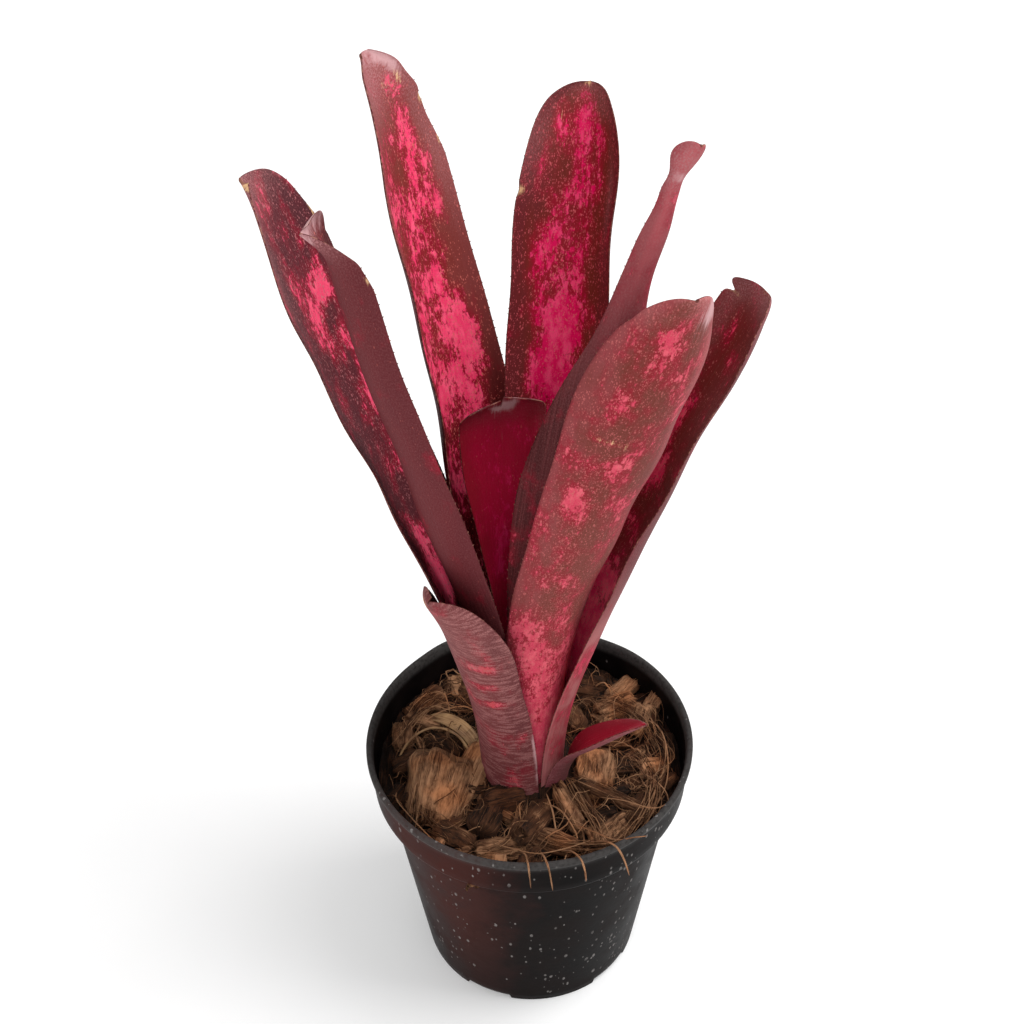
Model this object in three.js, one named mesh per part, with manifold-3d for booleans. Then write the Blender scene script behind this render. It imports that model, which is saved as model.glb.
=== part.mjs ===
// A potted spotted billbergia: a tubular bromeliad of ten strap leaves on a short
// stem, standing in husk chips and coir in a thin black nursery pot.
// Millimetres, +Z up. -Y is the front, the side that the broad outer leaf faces. All
// is laid out from the middle of the pot's foot. At the end the whole is moved so
// that the origin is under the middle of its bounding box, where it stands.
import * as THREE from "three";
import { mergeVertices } from "three/addons/utils/BufferGeometryUtils.js";
import Module from "manifold-3d";

const wasm = await Module();
wasm.setup();

// Pot: a thin tapered cup with a collar round its top and a notched foot ring.
const POT_HEIGHT = 105;
const RIM_RADIUS = 60;
const RIM_LIP = 1.8;
const COLLAR_DEPTH = 17;
const COLLAR_RADIUS = 58;
const BODY_TOP_RADIUS = 54;
const FOOT_RADIUS = 41.5;
const WALL = 1.3;
const FOOT_HEIGHT = 4;
const FOOT_RING = 2.4;
const NOTCH_COUNT = 5;
const NOTCH_WIDTH = 18;
const NOTCH_HEIGHT = 2.2;
const NOTCH_TURN = 318;
const DRAIN_COUNT = 5;
const DRAIN_RADIUS = 4;
const DRAIN_RING = 24;
const POT_SIDES = 60;

// Potting mix: what fills the pot, with a plain hole for the plant.
const CLEARANCE = 0.35;
const MIX_LEVEL = 85;
const HOLE_RADIUS = 16.3;
const HOLE_TOP_RADIUS = 19;
const MIX_BOTTOM = FOOT_HEIGHT + WALL + CLEARANCE;
const PLANT_X = -2;
const PLANT_Y = -2;

// Leaves: how thick they are, and how far apart their bases stand on the stem.
const LEAF_THICKNESS = 1.0;
const MARGIN_THICKNESS = 0.62;
const TOOTH = 1.0;
const TOOTH_WIDTH = 1.4;
const OUTER_SHEATH_RADIUS = 15.4;
const SHEATH_STEP = 1.42;
const FIRST_LEAF_Z = 72;
const LEAF_Z_STEP = 4;
const LEAF_ROWS = 28;
const LEAF_COLUMNS = 6;

// Stem: a short cone that the leaf bases stand round, widest at the bottom.
const STEM_BOTTOM = 62;
const STEM_TOP = 101;
const STEM_SIDES = 30;

const rad = THREE.MathUtils.degToRad;
const { lerp, smoothstep } = THREE.MathUtils;

// Each leaf by what a grower could measure. ring counts the sheaths from the outside
// in. heading is the compass way that it leans (0 is +X, 90 is +Y), and drift how far
// that turns by the tip. lean is degrees from upright above the tube, and nod what is
// added by the tip. width is at the middle and the shoulder, in mm. wrap is half the
// arc of its channel at the base, the middle and the shoulder. roll turns it about its
// own length by the shoulder. point is the length of the tapering end and blunt its
// shape, 1 for a straight-sided point and 2 for a round end. curl bends the last
// stretch, outwards if positive.
const LEAVES = [
  { name: "leaf_left_outer", ring: 1, heading: 163.6, drift: 18, lean: 20.2, nod: -3.2,
    opens: 0.46, length: 266, width: [45, 50], wrap: [62, 34, 24], roll: -6,
    point: 39, blunt: 1.7, curl: 0 },
  { name: "leaf_left_folded", ring: 3, heading: 204.7, drift: 4, lean: 16.7, nod: -6.1,
    opens: 0.43, length: 260, width: [33, 26], wrap: [55, 61, 56], roll: 5,
    point: 22, blunt: 1.4, curl: 35 },
  { name: "leaf_back_left", ring: 2, heading: 115, drift: 15, lean: 20.2, nod: -1,
    opens: 0.36, length: 274, width: [44, 46], wrap: [58, 63, 36], roll: 30,
    point: 41, blunt: 1.4, curl: 30 },
  { name: "leaf_back", ring: 3, heading: 73, drift: 1, lean: 20.7, nod: 1.9,
    opens: 0.39, length: 256, width: [37, 46], wrap: [64, 42, 75], roll: -8,
    point: 43, blunt: 2.4, curl: 0 },
  { name: "leaf_right_slender", ring: 4, heading: 331.2, drift: -7, lean: 9, nod: 7.5,
    opens: 0.5, length: 280, width: [43, 12], wrap: [71, 60, 77], roll: -42,
    point: 31, blunt: 1.1, curl: 20 },
  { name: "leaf_front_broad", ring: 2, heading: 303.7, drift: 21, lean: 17.6, nod: 1.2,
    opens: 0.59, length: 253, width: [37, 43], wrap: [56, 50, 59], roll: -37,
    point: 47, blunt: 2, curl: 0 },
  { name: "leaf_right", ring: 1, heading: 8.1, drift: -4, lean: 16.4, nod: 8.8,
    opens: 0.35, length: 229, width: [42, 36], wrap: [73, 56, 41], roll: 5,
    point: 22, blunt: 1.6, curl: 0 },
  { name: "leaf_centre_short", ring: 5, heading: 102.3, drift: 2, lean: 10.5, nod: 1.5,
    opens: 0.35, length: 148, width: [25, 31], wrap: [80, 85, 31], roll: 1,
    point: 8, blunt: 2.2, curl: -40 },
  { name: "leaf_front_short", ring: 0, heading: 225, drift: 0, lean: 9.3, nod: 16,
    opens: 0.59, length: 137, width: [35, 48], wrap: [65, 66, 58], roll: 4,
    point: 86, blunt: 2.2, curl: 0 },
  { name: "leaf_front_low", ring: 0, heading: 330.6, drift: -21, lean: 37, nod: 5.1,
    opens: 0.64, length: 89, width: [17, 18], wrap: [33, 63, 51], roll: 19,
    point: 50, blunt: 1.4, curl: 0 },
];

// The stretches of every leaf, as shares of its length: where its teeth begin, its
// shoulder, and the last stretch that curls.
const TOOTHED_FROM = 0.12;
const SHOULDER = 0.85;
const CURL_LENGTH = 0.07;
const UPRIGHT = 0.024;
const TIP_WIDTH = 0.5;

// The chips that can be told apart, each by its middle, its length, width and
// thickness, its turn and its tilt.
const CHIPS = [
  { at: [-32, -14, 87.5], size: [27, 20, 8], turn: 60, tilt: 20 },
  { at: [-13, -28, 87.5], size: [16, 12, 9], turn: 10, tilt: -16 },
  { at: [26, -4, 87], size: [14, 12, 6], turn: 80, tilt: 26 },
  { at: [45, -3, 87], size: [9, 8, 6], turn: 10, tilt: 18 },
  { at: [31, -20, 86.5], size: [28, 7, 4], turn: -28, tilt: 14 },
  { at: [32, 27, 87], size: [14, 10, 6], turn: 20, tilt: 30 },
  { at: [40, 22, 86.5], size: [10, 7, 6], turn: 75, tilt: -26 },
  { at: [21, 38, 86.5], size: [15, 9, 6], turn: -10, tilt: 24 },
  { at: [-38, 26, 87], size: [14, 9, 6], turn: 40, tilt: -24 },
  { at: [-44, 8, 86.5], size: [13, 9, 6], turn: 95, tilt: 20 },
  { at: [-8, -41, 86.5], size: [17, 10, 4], turn: 5, tilt: 16 },
  { at: [9, -36, 86.5], size: [15, 9, 4], turn: -20, tilt: -20 },
];
const SMALL_CHIPS = 26;

// The strands that lie over the rim, each by the points it passes through.
const OVER_RIM = [
  [[-6, -40, 85], [-2, -53, 103], [-1, -59.5, 107], [-0.5, -62.5, 105], [0, -63.4, 97]],
  [[2, -42, 85], [4, -54, 104], [5.5, -60, 107], [6.5, -62.6, 104], [7.5, -63.6, 96]],
  [[10, -40, 85], [14, -52, 103], [17, -58, 107], [18.4, -60.6, 104], [19, -61.2, 98]],
  [[20, -36, 85], [26, -48, 103], [29.5, -53, 107], [32, -56.6, 104], [34, -58, 98]],
];
const LOOSE_STRANDS = 9;
const STRAND_RADIUS = 0.6;

// A dull material of one colour.
function finish(color, roughness) {
  return new THREE.MeshStandardMaterial({ color, roughness, metalness: 0 });
}

// A repeatable run of numbers from 0 to 1.
function seeded(seed) {
  let state = seed;
  return () => {
    state = (state * 16807) % 2147483647;
    return state / 2147483647;
  };
}

// A closed mesh as a solid that can be cut and joined.
function solidOf(geometry) {
  const bare = new THREE.BufferGeometry();
  const flat = geometry.index ? geometry.toNonIndexed() : geometry;
  bare.setAttribute("position", flat.getAttribute("position").clone());
  const merged = mergeVertices(bare, 1e-4);
  return new wasm.Manifold(
    new wasm.Mesh({
      numProp: 3,
      vertProperties: merged.attributes.position.array,
      triVerts: new Uint32Array(merged.index.array),
    }),
  );
}

// The solid's surface as a geometry.
function geometryOf(solid) {
  const mesh = solid.getMesh();
  const places = new Float32Array(mesh.vertProperties);
  const geometry = new THREE.BufferGeometry();
  geometry.setAttribute("position", new THREE.BufferAttribute(places, 3));
  geometry.setIndex(new THREE.BufferAttribute(new Uint32Array(mesh.triVerts), 1));
  geometry.computeVertexNormals();
  return geometry;
}

// A lathe turned about +Z from points given as [radius, height].
function turned(points, sides) {
  const outline = points.map(([r, z]) => new THREE.Vector2(r, z));
  return new THREE.LatheGeometry(outline, sides).rotateX(Math.PI / 2);
}

// A named piece at the origin.
function piece(name, geometry, material) {
  const mesh = new THREE.Mesh(geometry, material);
  mesh.name = name;
  return mesh;
}

// The value at s of three stations at 0, the middle and the shoulder, joined smoothly.
function along(s, base, middle, shoulder) {
  if (s < 0.5) return lerp(base, middle, smoothstep(s, 0, 0.5));
  return lerp(middle, shoulder, smoothstep(s, 0.5, SHOULDER));
}

// How far from upright the leaf is at s, in radians. It stands straight in the tube.
function leanAt(leaf, s) {
  const opened = smoothstep(s, UPRIGHT, leaf.opens);
  const curled = Math.max(0, (s - 1 + CURL_LENGTH) / CURL_LENGTH);
  return rad(leaf.lean * opened + leaf.nod * s * s + leaf.curl * curled);
}

// The radius of the sheath that the leaf's base is part of.
function sheathRadius(leaf) {
  return OUTER_SHEATH_RADIUS - SHEATH_STEP * leaf.ring;
}

// The leaf's rows: at each its share of the length, its middle, the way across and
// the way in, half its width and half the arc of its channel.
function leafRows(leaf, count) {
  const frames = [];
  const start = rad(leaf.heading);
  const place = new THREE.Vector3(
    PLANT_X + sheathRadius(leaf) * Math.cos(start),
    PLANT_Y + sheathRadius(leaf) * Math.sin(start),
    FIRST_LEAF_Z + LEAF_Z_STEP * leaf.ring,
  );
  let before = 0;
  for (let i = 0; i <= count; i += 1) {
    const s = 1 - (1 - i / count) ** 1.3;
    const middle = (s + before) / 2;
    const way = rad(leaf.heading + leaf.drift * middle);
    const lean = leanAt(leaf, middle);
    const reach = Math.sin(lean);
    const tangent = new THREE.Vector3(
      reach * Math.cos(way), reach * Math.sin(way), Math.cos(lean));
    place.addScaledVector(tangent, (s - before) * leaf.length);
    const across = new THREE.Vector3(-Math.sin(way), Math.cos(way), 0);
    const inwards = new THREE.Vector3().crossVectors(tangent, across);
    const turn = rad(leaf.roll) * smoothstep(s, 0.1, SHOULDER);
    across.applyAxisAngle(tangent, turn);
    inwards.applyAxisAngle(tangent, turn);
    const arc = rad(along(s, ...leaf.wrap));
    frames.push({ s, place: place.clone(), across, inwards, half: halfWidth(leaf, s), arc });
    before = s;
  }
  return frames;
}

// Half the leaf's flat width at s.
function halfWidth(leaf, s) {
  const sheath = sheathRadius(leaf) * rad(leaf.wrap[0]);
  const left = ((1 - s) * leaf.length) / leaf.point;
  const end = left >= 1 ? 1 : (1 - (1 - left) ** leaf.blunt) ** (1 / leaf.blunt);
  const [middle, shoulder] = leaf.width;
  return Math.max(TIP_WIDTH, along(s, sheath, middle / 2, shoulder / 2) * end);
}

// A point of a leaf's face. u runs from -1 to 1 across it, and side is -1 outside
// and 1 inside. The leaf thins towards its margins.
function facePoint({ place, across, inwards, half, arc }, u, side) {
  const bend = half / arc;
  const depth = lerp(LEAF_THICKNESS, MARGIN_THICKNESS, u * u) * (0.5 * side);
  return place.clone()
    .addScaledVector(across, (bend - depth) * Math.sin(u * arc))
    .addScaledVector(inwards, bend - (bend - depth) * Math.cos(u * arc));
}

// A leaf: a strap bent into a channel, rolled into a sheath at its base. Its two
// faces share their rows and columns. Every second stretch of both margins has a
// small forward tooth in its middle.
function leafGeometry(leaf) {
  const rows = Math.max(14, Math.round((LEAF_ROWS * leaf.length) / 262));
  const columns = LEAF_COLUMNS;
  const frames = leafRows(leaf, rows);
  const points = [];
  const grid = [-1, 1].map((side) => frames.map((frame) => {
    const line = [];
    for (let j = 0; j <= columns; j += 1) {
      line.push(points.push(facePoint(frame, (2 * j) / columns - 1, side)) - 1);
    }
    return line;
  }));
  const faces = [];
  // A fan round its first corner. The far margin and the inside turn the other way.
  const fan = (flip, ...corners) => {
    for (let k = 1; k + 1 < corners.length; k += 1) {
      const [a, b, c] = [corners[0], corners[k], corners[k + 1]];
      faces.push(...(flip ? [a, c, b] : [a, b, c]));
    }
  };
  const between = (a, b, share) => points.push(points[a].clone().lerp(points[b], share)) - 1;
  for (let i = 0; i < rows; i += 1) {
    const toothed = i % 2 === 1 && frames[i].s > TOOTHED_FROM && i < rows - 1;
    for (let j = 1; j < columns - 1; j += 1) {
      grid.forEach((g, face) => fan(face === 1, g[i][j], g[i][j + 1], g[i + 1][j + 1], g[i + 1][j]));
    }
    for (const margin of [0, columns]) {
      const next = margin === 0 ? 1 : columns - 1;
      const far = margin !== 0;
      const cuts = grid.map((g) => {
        if (!toothed) return [];
        const [low, high] = [g[i][margin], g[i + 1][margin]];
        const share = TOOTH_WIDTH / points[low].distanceTo(points[high]) / 2;
        return [between(low, high, 0.5 - share), between(low, high, 0.5 + share)];
      });
      grid.forEach((g, face) => {
        const flip = (face === 1) !== far;
        fan(!flip, g[i][next], g[i][margin], ...cuts[face], g[i + 1][margin], g[i + 1][next]);
      });
      const [outside, inside] = grid.map((g, face) => [g[i][margin], ...cuts[face], g[i + 1][margin]]);
      for (let k = 0; k + 1 < outside.length; k += 1) {
        const wall = [inside[k], outside[k], outside[k + 1], inside[k + 1]];
        if (outside.length === 2 || k !== 1) {
          fan(far, ...wall);
          continue;
        }
        const outwards = points[outside[1]].clone().sub(points[grid[0][i][next]]).normalize();
        const apex = wall.reduce((sum, w) => sum.add(points[w]), new THREE.Vector3())
          .multiplyScalar(0.25).addScaledVector(outwards, TOOTH)
          .addScaledVector(points[wall[2]].clone().sub(points[wall[1]]), 0.5);
        const tip = points.push(apex) - 1;
        wall.forEach((corner, w) => fan(far, corner, wall[(w + 1) % 4], tip));
      }
    }
  }
  const [outer, inner] = grid;
  for (let j = 0; j < columns; j += 1) {
    fan(false, inner[0][j], inner[0][j + 1], outer[0][j + 1], outer[0][j]);
    fan(true, inner[rows][j], inner[rows][j + 1], outer[rows][j + 1], outer[rows][j]);
  }
  const geometry = new THREE.BufferGeometry();
  geometry.setFromPoints(points);
  geometry.setIndex(faces);
  geometry.computeVertexNormals();
  return geometry;
}

// The stem's radius where a leaf base of that height stands round it.
function stemRadius(z) {
  const atFirst = OUTER_SHEATH_RADIUS - LEAF_THICKNESS / 2 - CLEARANCE;
  return atFirst - (z - FIRST_LEAF_Z) * (SHEATH_STEP / LEAF_Z_STEP);
}

function stemGeometry() {
  const widest = stemRadius(FIRST_LEAF_Z);
  const outline = [
    [0, STEM_BOTTOM],
    [widest * 0.6, STEM_BOTTOM],
    [widest, FIRST_LEAF_Z - 3],
    [widest, FIRST_LEAF_Z],
    [stemRadius(STEM_TOP), STEM_TOP],
    [0, STEM_TOP + 2],
  ];
  return turned(outline, STEM_SIDES).translate(PLANT_X, PLANT_Y, 0);
}

// The pot's outer radius at a height of its body.
const collarZ = POT_HEIGHT - COLLAR_DEPTH;
const bodyRadius = (z) => lerp(FOOT_RADIUS, BODY_TOP_RADIUS, z / (collarZ - 1));

// The pot: one turned shell, with notches cut in its foot and drain holes in its floor.
function potGeometry() {
  const outline = [
    [0, FOOT_HEIGHT],
    [FOOT_RADIUS - FOOT_RING, FOOT_HEIGHT],
    [FOOT_RADIUS - FOOT_RING, 0],
    [FOOT_RADIUS, 0],
    [BODY_TOP_RADIUS, collarZ - 1],
    [COLLAR_RADIUS - 0.3, collarZ],
    [COLLAR_RADIUS, collarZ + 1],
    [RIM_RADIUS - 1, POT_HEIGHT - 3.2],
    [RIM_RADIUS, POT_HEIGHT - 2.4],
    [RIM_RADIUS, POT_HEIGHT - 0.7],
    [RIM_RADIUS - 0.7, POT_HEIGHT],
    [RIM_RADIUS - RIM_LIP, POT_HEIGHT],
    [RIM_RADIUS - RIM_LIP - 0.5, POT_HEIGHT - 1],
    [COLLAR_RADIUS - WALL, collarZ + 1.5],
    [BODY_TOP_RADIUS - WALL, collarZ - 1],
    [bodyRadius(FOOT_HEIGHT + WALL) - WALL, FOOT_HEIGHT + WALL],
    [0, FOOT_HEIGHT + WALL],
  ];
  let shell = solidOf(turned(outline, POT_SIDES));
  for (let k = 0; k < NOTCH_COUNT; k += 1) {
    const notch = new THREE.BoxGeometry(12, NOTCH_WIDTH, 2 * NOTCH_HEIGHT);
    notch.translate(FOOT_RADIUS, 0, 0).rotateZ(rad(NOTCH_TURN + (360 / NOTCH_COUNT) * k));
    shell = shell.subtract(solidOf(notch));
  }
  for (let k = 0; k < DRAIN_COUNT; k += 1) {
    const drain = new THREE.CylinderGeometry(DRAIN_RADIUS, DRAIN_RADIUS, 10, 16);
    drain.rotateX(Math.PI / 2).translate(DRAIN_RING, 0, FOOT_HEIGHT);
    drain.rotateZ(rad((360 / DRAIN_COUNT) * k));
    shell = shell.subtract(solidOf(drain));
  }
  return geometryOf(shell);
}

// A chip of husk or bark: an uneven slab, tilted, then turned and set at its place.
function chip({ at, size, turn, tilt }, random) {
  const [length, width, thickness] = size;
  const corners = 6;
  const shape = new THREE.Shape();
  for (let k = 0; k < corners; k += 1) {
    const angle = ((k + 0.3 * random()) / corners) * 2 * Math.PI;
    const reach = 0.85 + 0.25 * random();
    const x = (length / 2) * reach * Math.cos(angle);
    const y = (width / 2) * reach * Math.sin(angle);
    if (k === 0) shape.moveTo(x, y);
    else shape.lineTo(x, y);
  }
  const slab = new THREE.ExtrudeGeometry(shape, { depth: thickness, bevelEnabled: false });
  slab.translate(0, 0, -thickness / 2).rotateX(rad(tilt)).rotateY(rad(tilt * (random() - 0.5)));
  slab.rotateZ(rad(turn)).translate(...at);
  return solidOf(slab);
}

// A three-sided coir strand through points.
function strand(path) {
  const shape = new THREE.Shape();
  for (let k = 0; k < 3; k += 1) {
    const angle = (k / 3) * 2 * Math.PI;
    const corner = [STRAND_RADIUS * Math.cos(angle), STRAND_RADIUS * Math.sin(angle)];
    if (k === 0) shape.moveTo(...corner);
    else shape.lineTo(...corner);
  }
  const extrudePath = new THREE.CatmullRomCurve3(path.map((p) => new THREE.Vector3(...p)));
  return solidOf(new THREE.ExtrudeGeometry(shape, { steps: 8, extrudePath, bevelEnabled: false }));
}

// Whether a spot on the mix is clear of the plant and the pot by a margin.
function isOpen(x, y, margin) {
  const fromPlant = Math.hypot(x - PLANT_X, y - PLANT_Y);
  return fromPlant > HOLE_TOP_RADIUS + margin && Math.hypot(x, y) < BODY_TOP_RADIUS - 2 - margin;
}

// The mix: a plug that fills the pot, with chips and strands grown into its top,
// and one plain hole for the stem and the leaf bases.
function mixGeometry() {
  const random = seeded(41);
  const inner = (z) => bodyRadius(z) - WALL - CLEARANCE;
  const room = solidOf(turned([
    [0, MIX_BOTTOM],
    [inner(MIX_BOTTOM), MIX_BOTTOM],
    [inner(collarZ - 1), collarZ - 1],
    [COLLAR_RADIUS - WALL - CLEARANCE, collarZ + 2],
    [COLLAR_RADIUS - WALL - CLEARANCE, POT_HEIGHT],
    [0, POT_HEIGHT],
  ], POT_SIDES));
  let mix = solidOf(turned([
    [0, MIX_BOTTOM],
    [inner(MIX_BOTTOM), MIX_BOTTOM],
    [inner(MIX_LEVEL - 2), MIX_LEVEL - 2],
    [inner(MIX_LEVEL - 2) - 4, MIX_LEVEL - 0.5],
    [36, MIX_LEVEL + 0.6],
    [24, MIX_LEVEL],
    [0, MIX_LEVEL + 1],
  ], POT_SIDES / 2));
  const chips = CHIPS.map((entry) => chip(entry, random));
  for (let k = 0; chips.length < CHIPS.length + SMALL_CHIPS && k < 200; k += 1) {
    const [angle, radius] = [k * 2.4, 22 + 29 * Math.sqrt(random())];
    const [x, y] = [radius * Math.cos(angle), radius * Math.sin(angle)];
    const size = [6 + 6 * random(), 4 + 5 * random(), 3.5 + 2 * random()];
    const [turn, tilt] = [360 * random(), 60 * random() - 30];
    if (isOpen(x, y, 4)) chips.push(chip({ at: [x, y, MIX_LEVEL + 1.2], size, turn, tilt }, random));
  }
  for (const one of chips) mix = mix.add(one);
  mix = mix.intersect(room);
  for (let k = 0, made = 0; made < LOOSE_STRANDS && k < 200; k += 1) {
    const [angle, radius, turn] = [2 * Math.PI * random(), 25 + 22 * random(), 2 * Math.PI * random()];
    const reach = 8 + 8 * random();
    const [x, y] = [radius * Math.cos(angle), radius * Math.sin(angle)];
    const [dx, dy] = [reach * Math.cos(turn), reach * Math.sin(turn)];
    if (!isOpen(x - dx, y - dy, 2) || !isOpen(x, y, 2) || !isOpen(x + dx, y + dy, 2)) continue;
    const rise = MIX_LEVEL + 5 + 3 * random();
    mix = mix.add(strand([[x - dx, y - dy, MIX_LEVEL - 3], [x, y, rise], [x + dx, y + dy, MIX_LEVEL - 3]]));
    made += 1;
  }
  for (const path of OVER_RIM) mix = mix.add(strand(path));
  const hole = turned([
    [0, STEM_BOTTOM - CLEARANCE],
    [HOLE_RADIUS, STEM_BOTTOM - CLEARANCE],
    [HOLE_RADIUS, MIX_LEVEL - 7],
    [HOLE_TOP_RADIUS, MIX_LEVEL],
    [HOLE_TOP_RADIUS, POT_HEIGHT],
    [0, POT_HEIGHT],
  ], STEM_SIDES).translate(PLANT_X, PLANT_Y, 0);
  return geometryOf(mix.subtract(solidOf(hole)));
}

const plant = new THREE.Group();
plant.name = "potted_spotted_billbergia";
for (const leaf of LEAVES) plant.add(piece(leaf.name, leafGeometry(leaf), finish(0x7a2138, 0.42)));
plant.add(piece("stem", stemGeometry(), finish(0xb98f7a, 0.7)));
plant.add(piece("potting_mix", mixGeometry(), finish(0x5a4030, 0.9)));
plant.add(piece("pot", potGeometry(), finish(0x1d1a19, 0.45)));

// The origin is set under the middle of the whole plant.
const middle = new THREE.Box3().setFromObject(plant).getCenter(new THREE.Vector3());
plant.position.set(-middle.x, -middle.y, 0);
const part = new THREE.Group();
part.name = "potted_spotted_billbergia_on_origin";
part.add(plant);

export default part;
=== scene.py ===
# %% [markdown]
# # A potted spotted billbergia
# The plant is a tubular bromeliad: ten strap leaves that wrap round one another at
# the foot and open towards the top. It stands in husk chips and coir, in a thin
# black nursery pot. The solid model fixes where every piece is and how large it
# is. This lesson dresses it: each piece is a surface worked out with numpy, and each
# finish is made of shader nodes.

# %% Load the frame
import math
import bpy
import numpy as np
from mathutils import Matrix, Vector


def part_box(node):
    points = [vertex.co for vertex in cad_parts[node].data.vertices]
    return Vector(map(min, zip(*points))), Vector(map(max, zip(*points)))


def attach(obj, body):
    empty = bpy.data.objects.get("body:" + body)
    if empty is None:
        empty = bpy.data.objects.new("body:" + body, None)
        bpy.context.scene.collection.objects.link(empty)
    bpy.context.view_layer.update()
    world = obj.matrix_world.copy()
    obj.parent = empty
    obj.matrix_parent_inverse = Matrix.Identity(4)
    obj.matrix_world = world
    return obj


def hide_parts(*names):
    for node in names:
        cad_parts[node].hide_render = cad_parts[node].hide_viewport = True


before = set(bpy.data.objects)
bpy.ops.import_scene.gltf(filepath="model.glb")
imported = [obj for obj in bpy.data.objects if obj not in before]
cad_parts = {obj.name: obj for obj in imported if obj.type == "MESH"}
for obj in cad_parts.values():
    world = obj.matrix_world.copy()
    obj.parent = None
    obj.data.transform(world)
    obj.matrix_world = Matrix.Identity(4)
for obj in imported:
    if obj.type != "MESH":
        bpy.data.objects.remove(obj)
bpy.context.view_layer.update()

MM = 0.001
low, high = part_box("pot")
POT_X, POT_Y = (low.x + high.x) / 2, (low.y + high.y) / 2
print("pot axis at", round(POT_X, 4), round(POT_Y, 4), "with nodes", len(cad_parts))

# %% [markdown]
# ## Small tools
# A grown thing is easiest to make as a grid of points with two directions, one along
# and one across. Blender only needs the points and the four corners of each face, so
# one helper takes a whole numpy grid. It can close the grid into a ring, cap its
# ends, and keep numbers such as the way along a leaf for the shaders to read.

# %% Grid to mesh
def grid_faces(rows, columns, ring):
    """Corners of the quads between neighbouring rows and columns of a grid that is
    stored row by row. With ring, the last column joins the first."""
    i, j = np.meshgrid(np.arange(rows - 1), np.arange(columns if ring else columns - 1), indexing="ij")
    k = (j + 1) % columns
    here, above = i * columns, (i + 1) * columns
    return np.stack([here + j, here + k, above + k, above + j], -1).reshape(-1, 4)


def capped(rows, columns, flip=False):
    """The quads of a grid closed into a ring, and one polygon over each end. flip turns
    every face round, for a profile that runs the other way."""
    last = (rows - 1) * columns
    ends = [list(range(columns))[::-1], list(range(last, last + columns))]
    return [face[::-1] if flip else face for face in list(grid_faces(rows, columns, True)) + ends]


def build(name, points, faces, uv=None, marks=None, slots=None, smooth=True):
    """Makes a mesh object at the origin from points and quads or triangles. uv holds
    one pair a point, marks named numbers a point, and slots a material index a face."""
    mesh = bpy.data.meshes.new(name)
    mesh.from_pydata(np.asarray(points, float).tolist(), [], [list(map(int, f)) for f in faces])
    corners = np.empty(len(mesh.loops), np.int32)
    mesh.loops.foreach_get("vertex_index", corners)
    if uv is not None:
        layer = mesh.uv_layers.new(name="skin")
        layer.data.foreach_set("uv", np.asarray(uv, np.float32)[corners].ravel())
    for key, values in (marks or {}).items():
        layer = mesh.attributes.new(key, "FLOAT", "POINT")
        layer.data.foreach_set("value", np.asarray(values, np.float32).ravel())
    if slots is not None:
        mesh.polygons.foreach_set("material_index", np.asarray(slots, np.int32))
    mesh.polygons.foreach_set("use_smooth", np.full(len(mesh.polygons), smooth))
    mesh.update()
    piece = bpy.data.objects.new(name, mesh)
    bpy.context.scene.collection.objects.link(piece)
    return piece


def join_parts(parts):
    """Stacks (points, faces, uv, marks, slots) of several shapes into one set, with
    the face corners counted on."""
    points, faces, uv, slots, marks, start = [], [], [], [], {}, 0
    for p, f, t, m, s in parts:
        points.append(p)
        faces.extend((np.asarray(face) + start) for face in f)
        uv.append(t)
        slots.append(np.full(len(f), s) if np.isscalar(s) else s)
        for key, values in m.items():
            marks.setdefault(key, []).append(values)
        start += len(p)
    marks = {key: np.concatenate(values) for key, values in marks.items()}
    return np.concatenate(points), faces, np.concatenate(uv), marks, np.concatenate(slots)


def ease(x, low, high):
    """The smooth step 3t^2 - 2t^3, where t runs from 0 at low to 1 at high."""
    t = np.clip((x - low) / (high - low), 0, 1)
    return t * t * (3 - 2 * t)


def place(points_mm):
    """Points in mm from the middle of the pot's foot, as metres in the frame."""
    return np.asarray(points_mm) * MM + np.array([POT_X, POT_Y, 0.0])

# %% [markdown]
# ## The camera
# The photograph looks down on the plant at forty degrees with a long lens. The camera
# is fitted to the pot's rim and foot, so its place is known from the pot: about 0.7 m
# away. A camera's own axes are its right, its up and the way behind it, so the three
# directions go straight into its matrix.

# %% Camera
CAMERA_AT = np.array([0.0, -428.84, 569.16])
PITCH, YAW, ROLL = math.radians(39.746), math.radians(-0.664), math.radians(-0.993)
FOCAL_PX, FRAME_PX, SENSOR = 1700.0, 1024.0, 36.0

ahead = Vector((math.sin(YAW) * math.cos(PITCH), math.cos(YAW) * math.cos(PITCH), -math.sin(PITCH)))
right = Vector((math.cos(YAW), -math.sin(YAW), 0))
above = right.cross(ahead)
right, above = (math.cos(ROLL) * right + math.sin(ROLL) * above,
                math.cos(ROLL) * above - math.sin(ROLL) * right)
camera_data = bpy.data.cameras.new("camera")
camera_data.sensor_width = SENSOR
camera_data.lens = FOCAL_PX * SENSOR / FRAME_PX
camera = bpy.data.objects.new("camera", camera_data)
bpy.context.scene.collection.objects.link(camera)
turned = Matrix((right, above, -ahead)).transposed().to_4x4()
camera.matrix_world = Matrix.Translation(Vector(place(CAMERA_AT))) @ turned
bpy.context.scene.camera = camera
print("lens", round(camera_data.lens, 2), "mm")

# %% [markdown]
# ## The leaves
# Each leaf is a strap bent into a channel. Its middle line starts upright in the
# tube, leans out as it opens and may bend on near the tip. Across it, every row is an
# arc: tight in the tube, where the leaf is a piece of the sheath, and flatter above.
# The same few measurements drive the solids, so the dressed leaf lies on its node.
# A plane with a bend modifier could do it, but a formula keeps every row in step.

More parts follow.
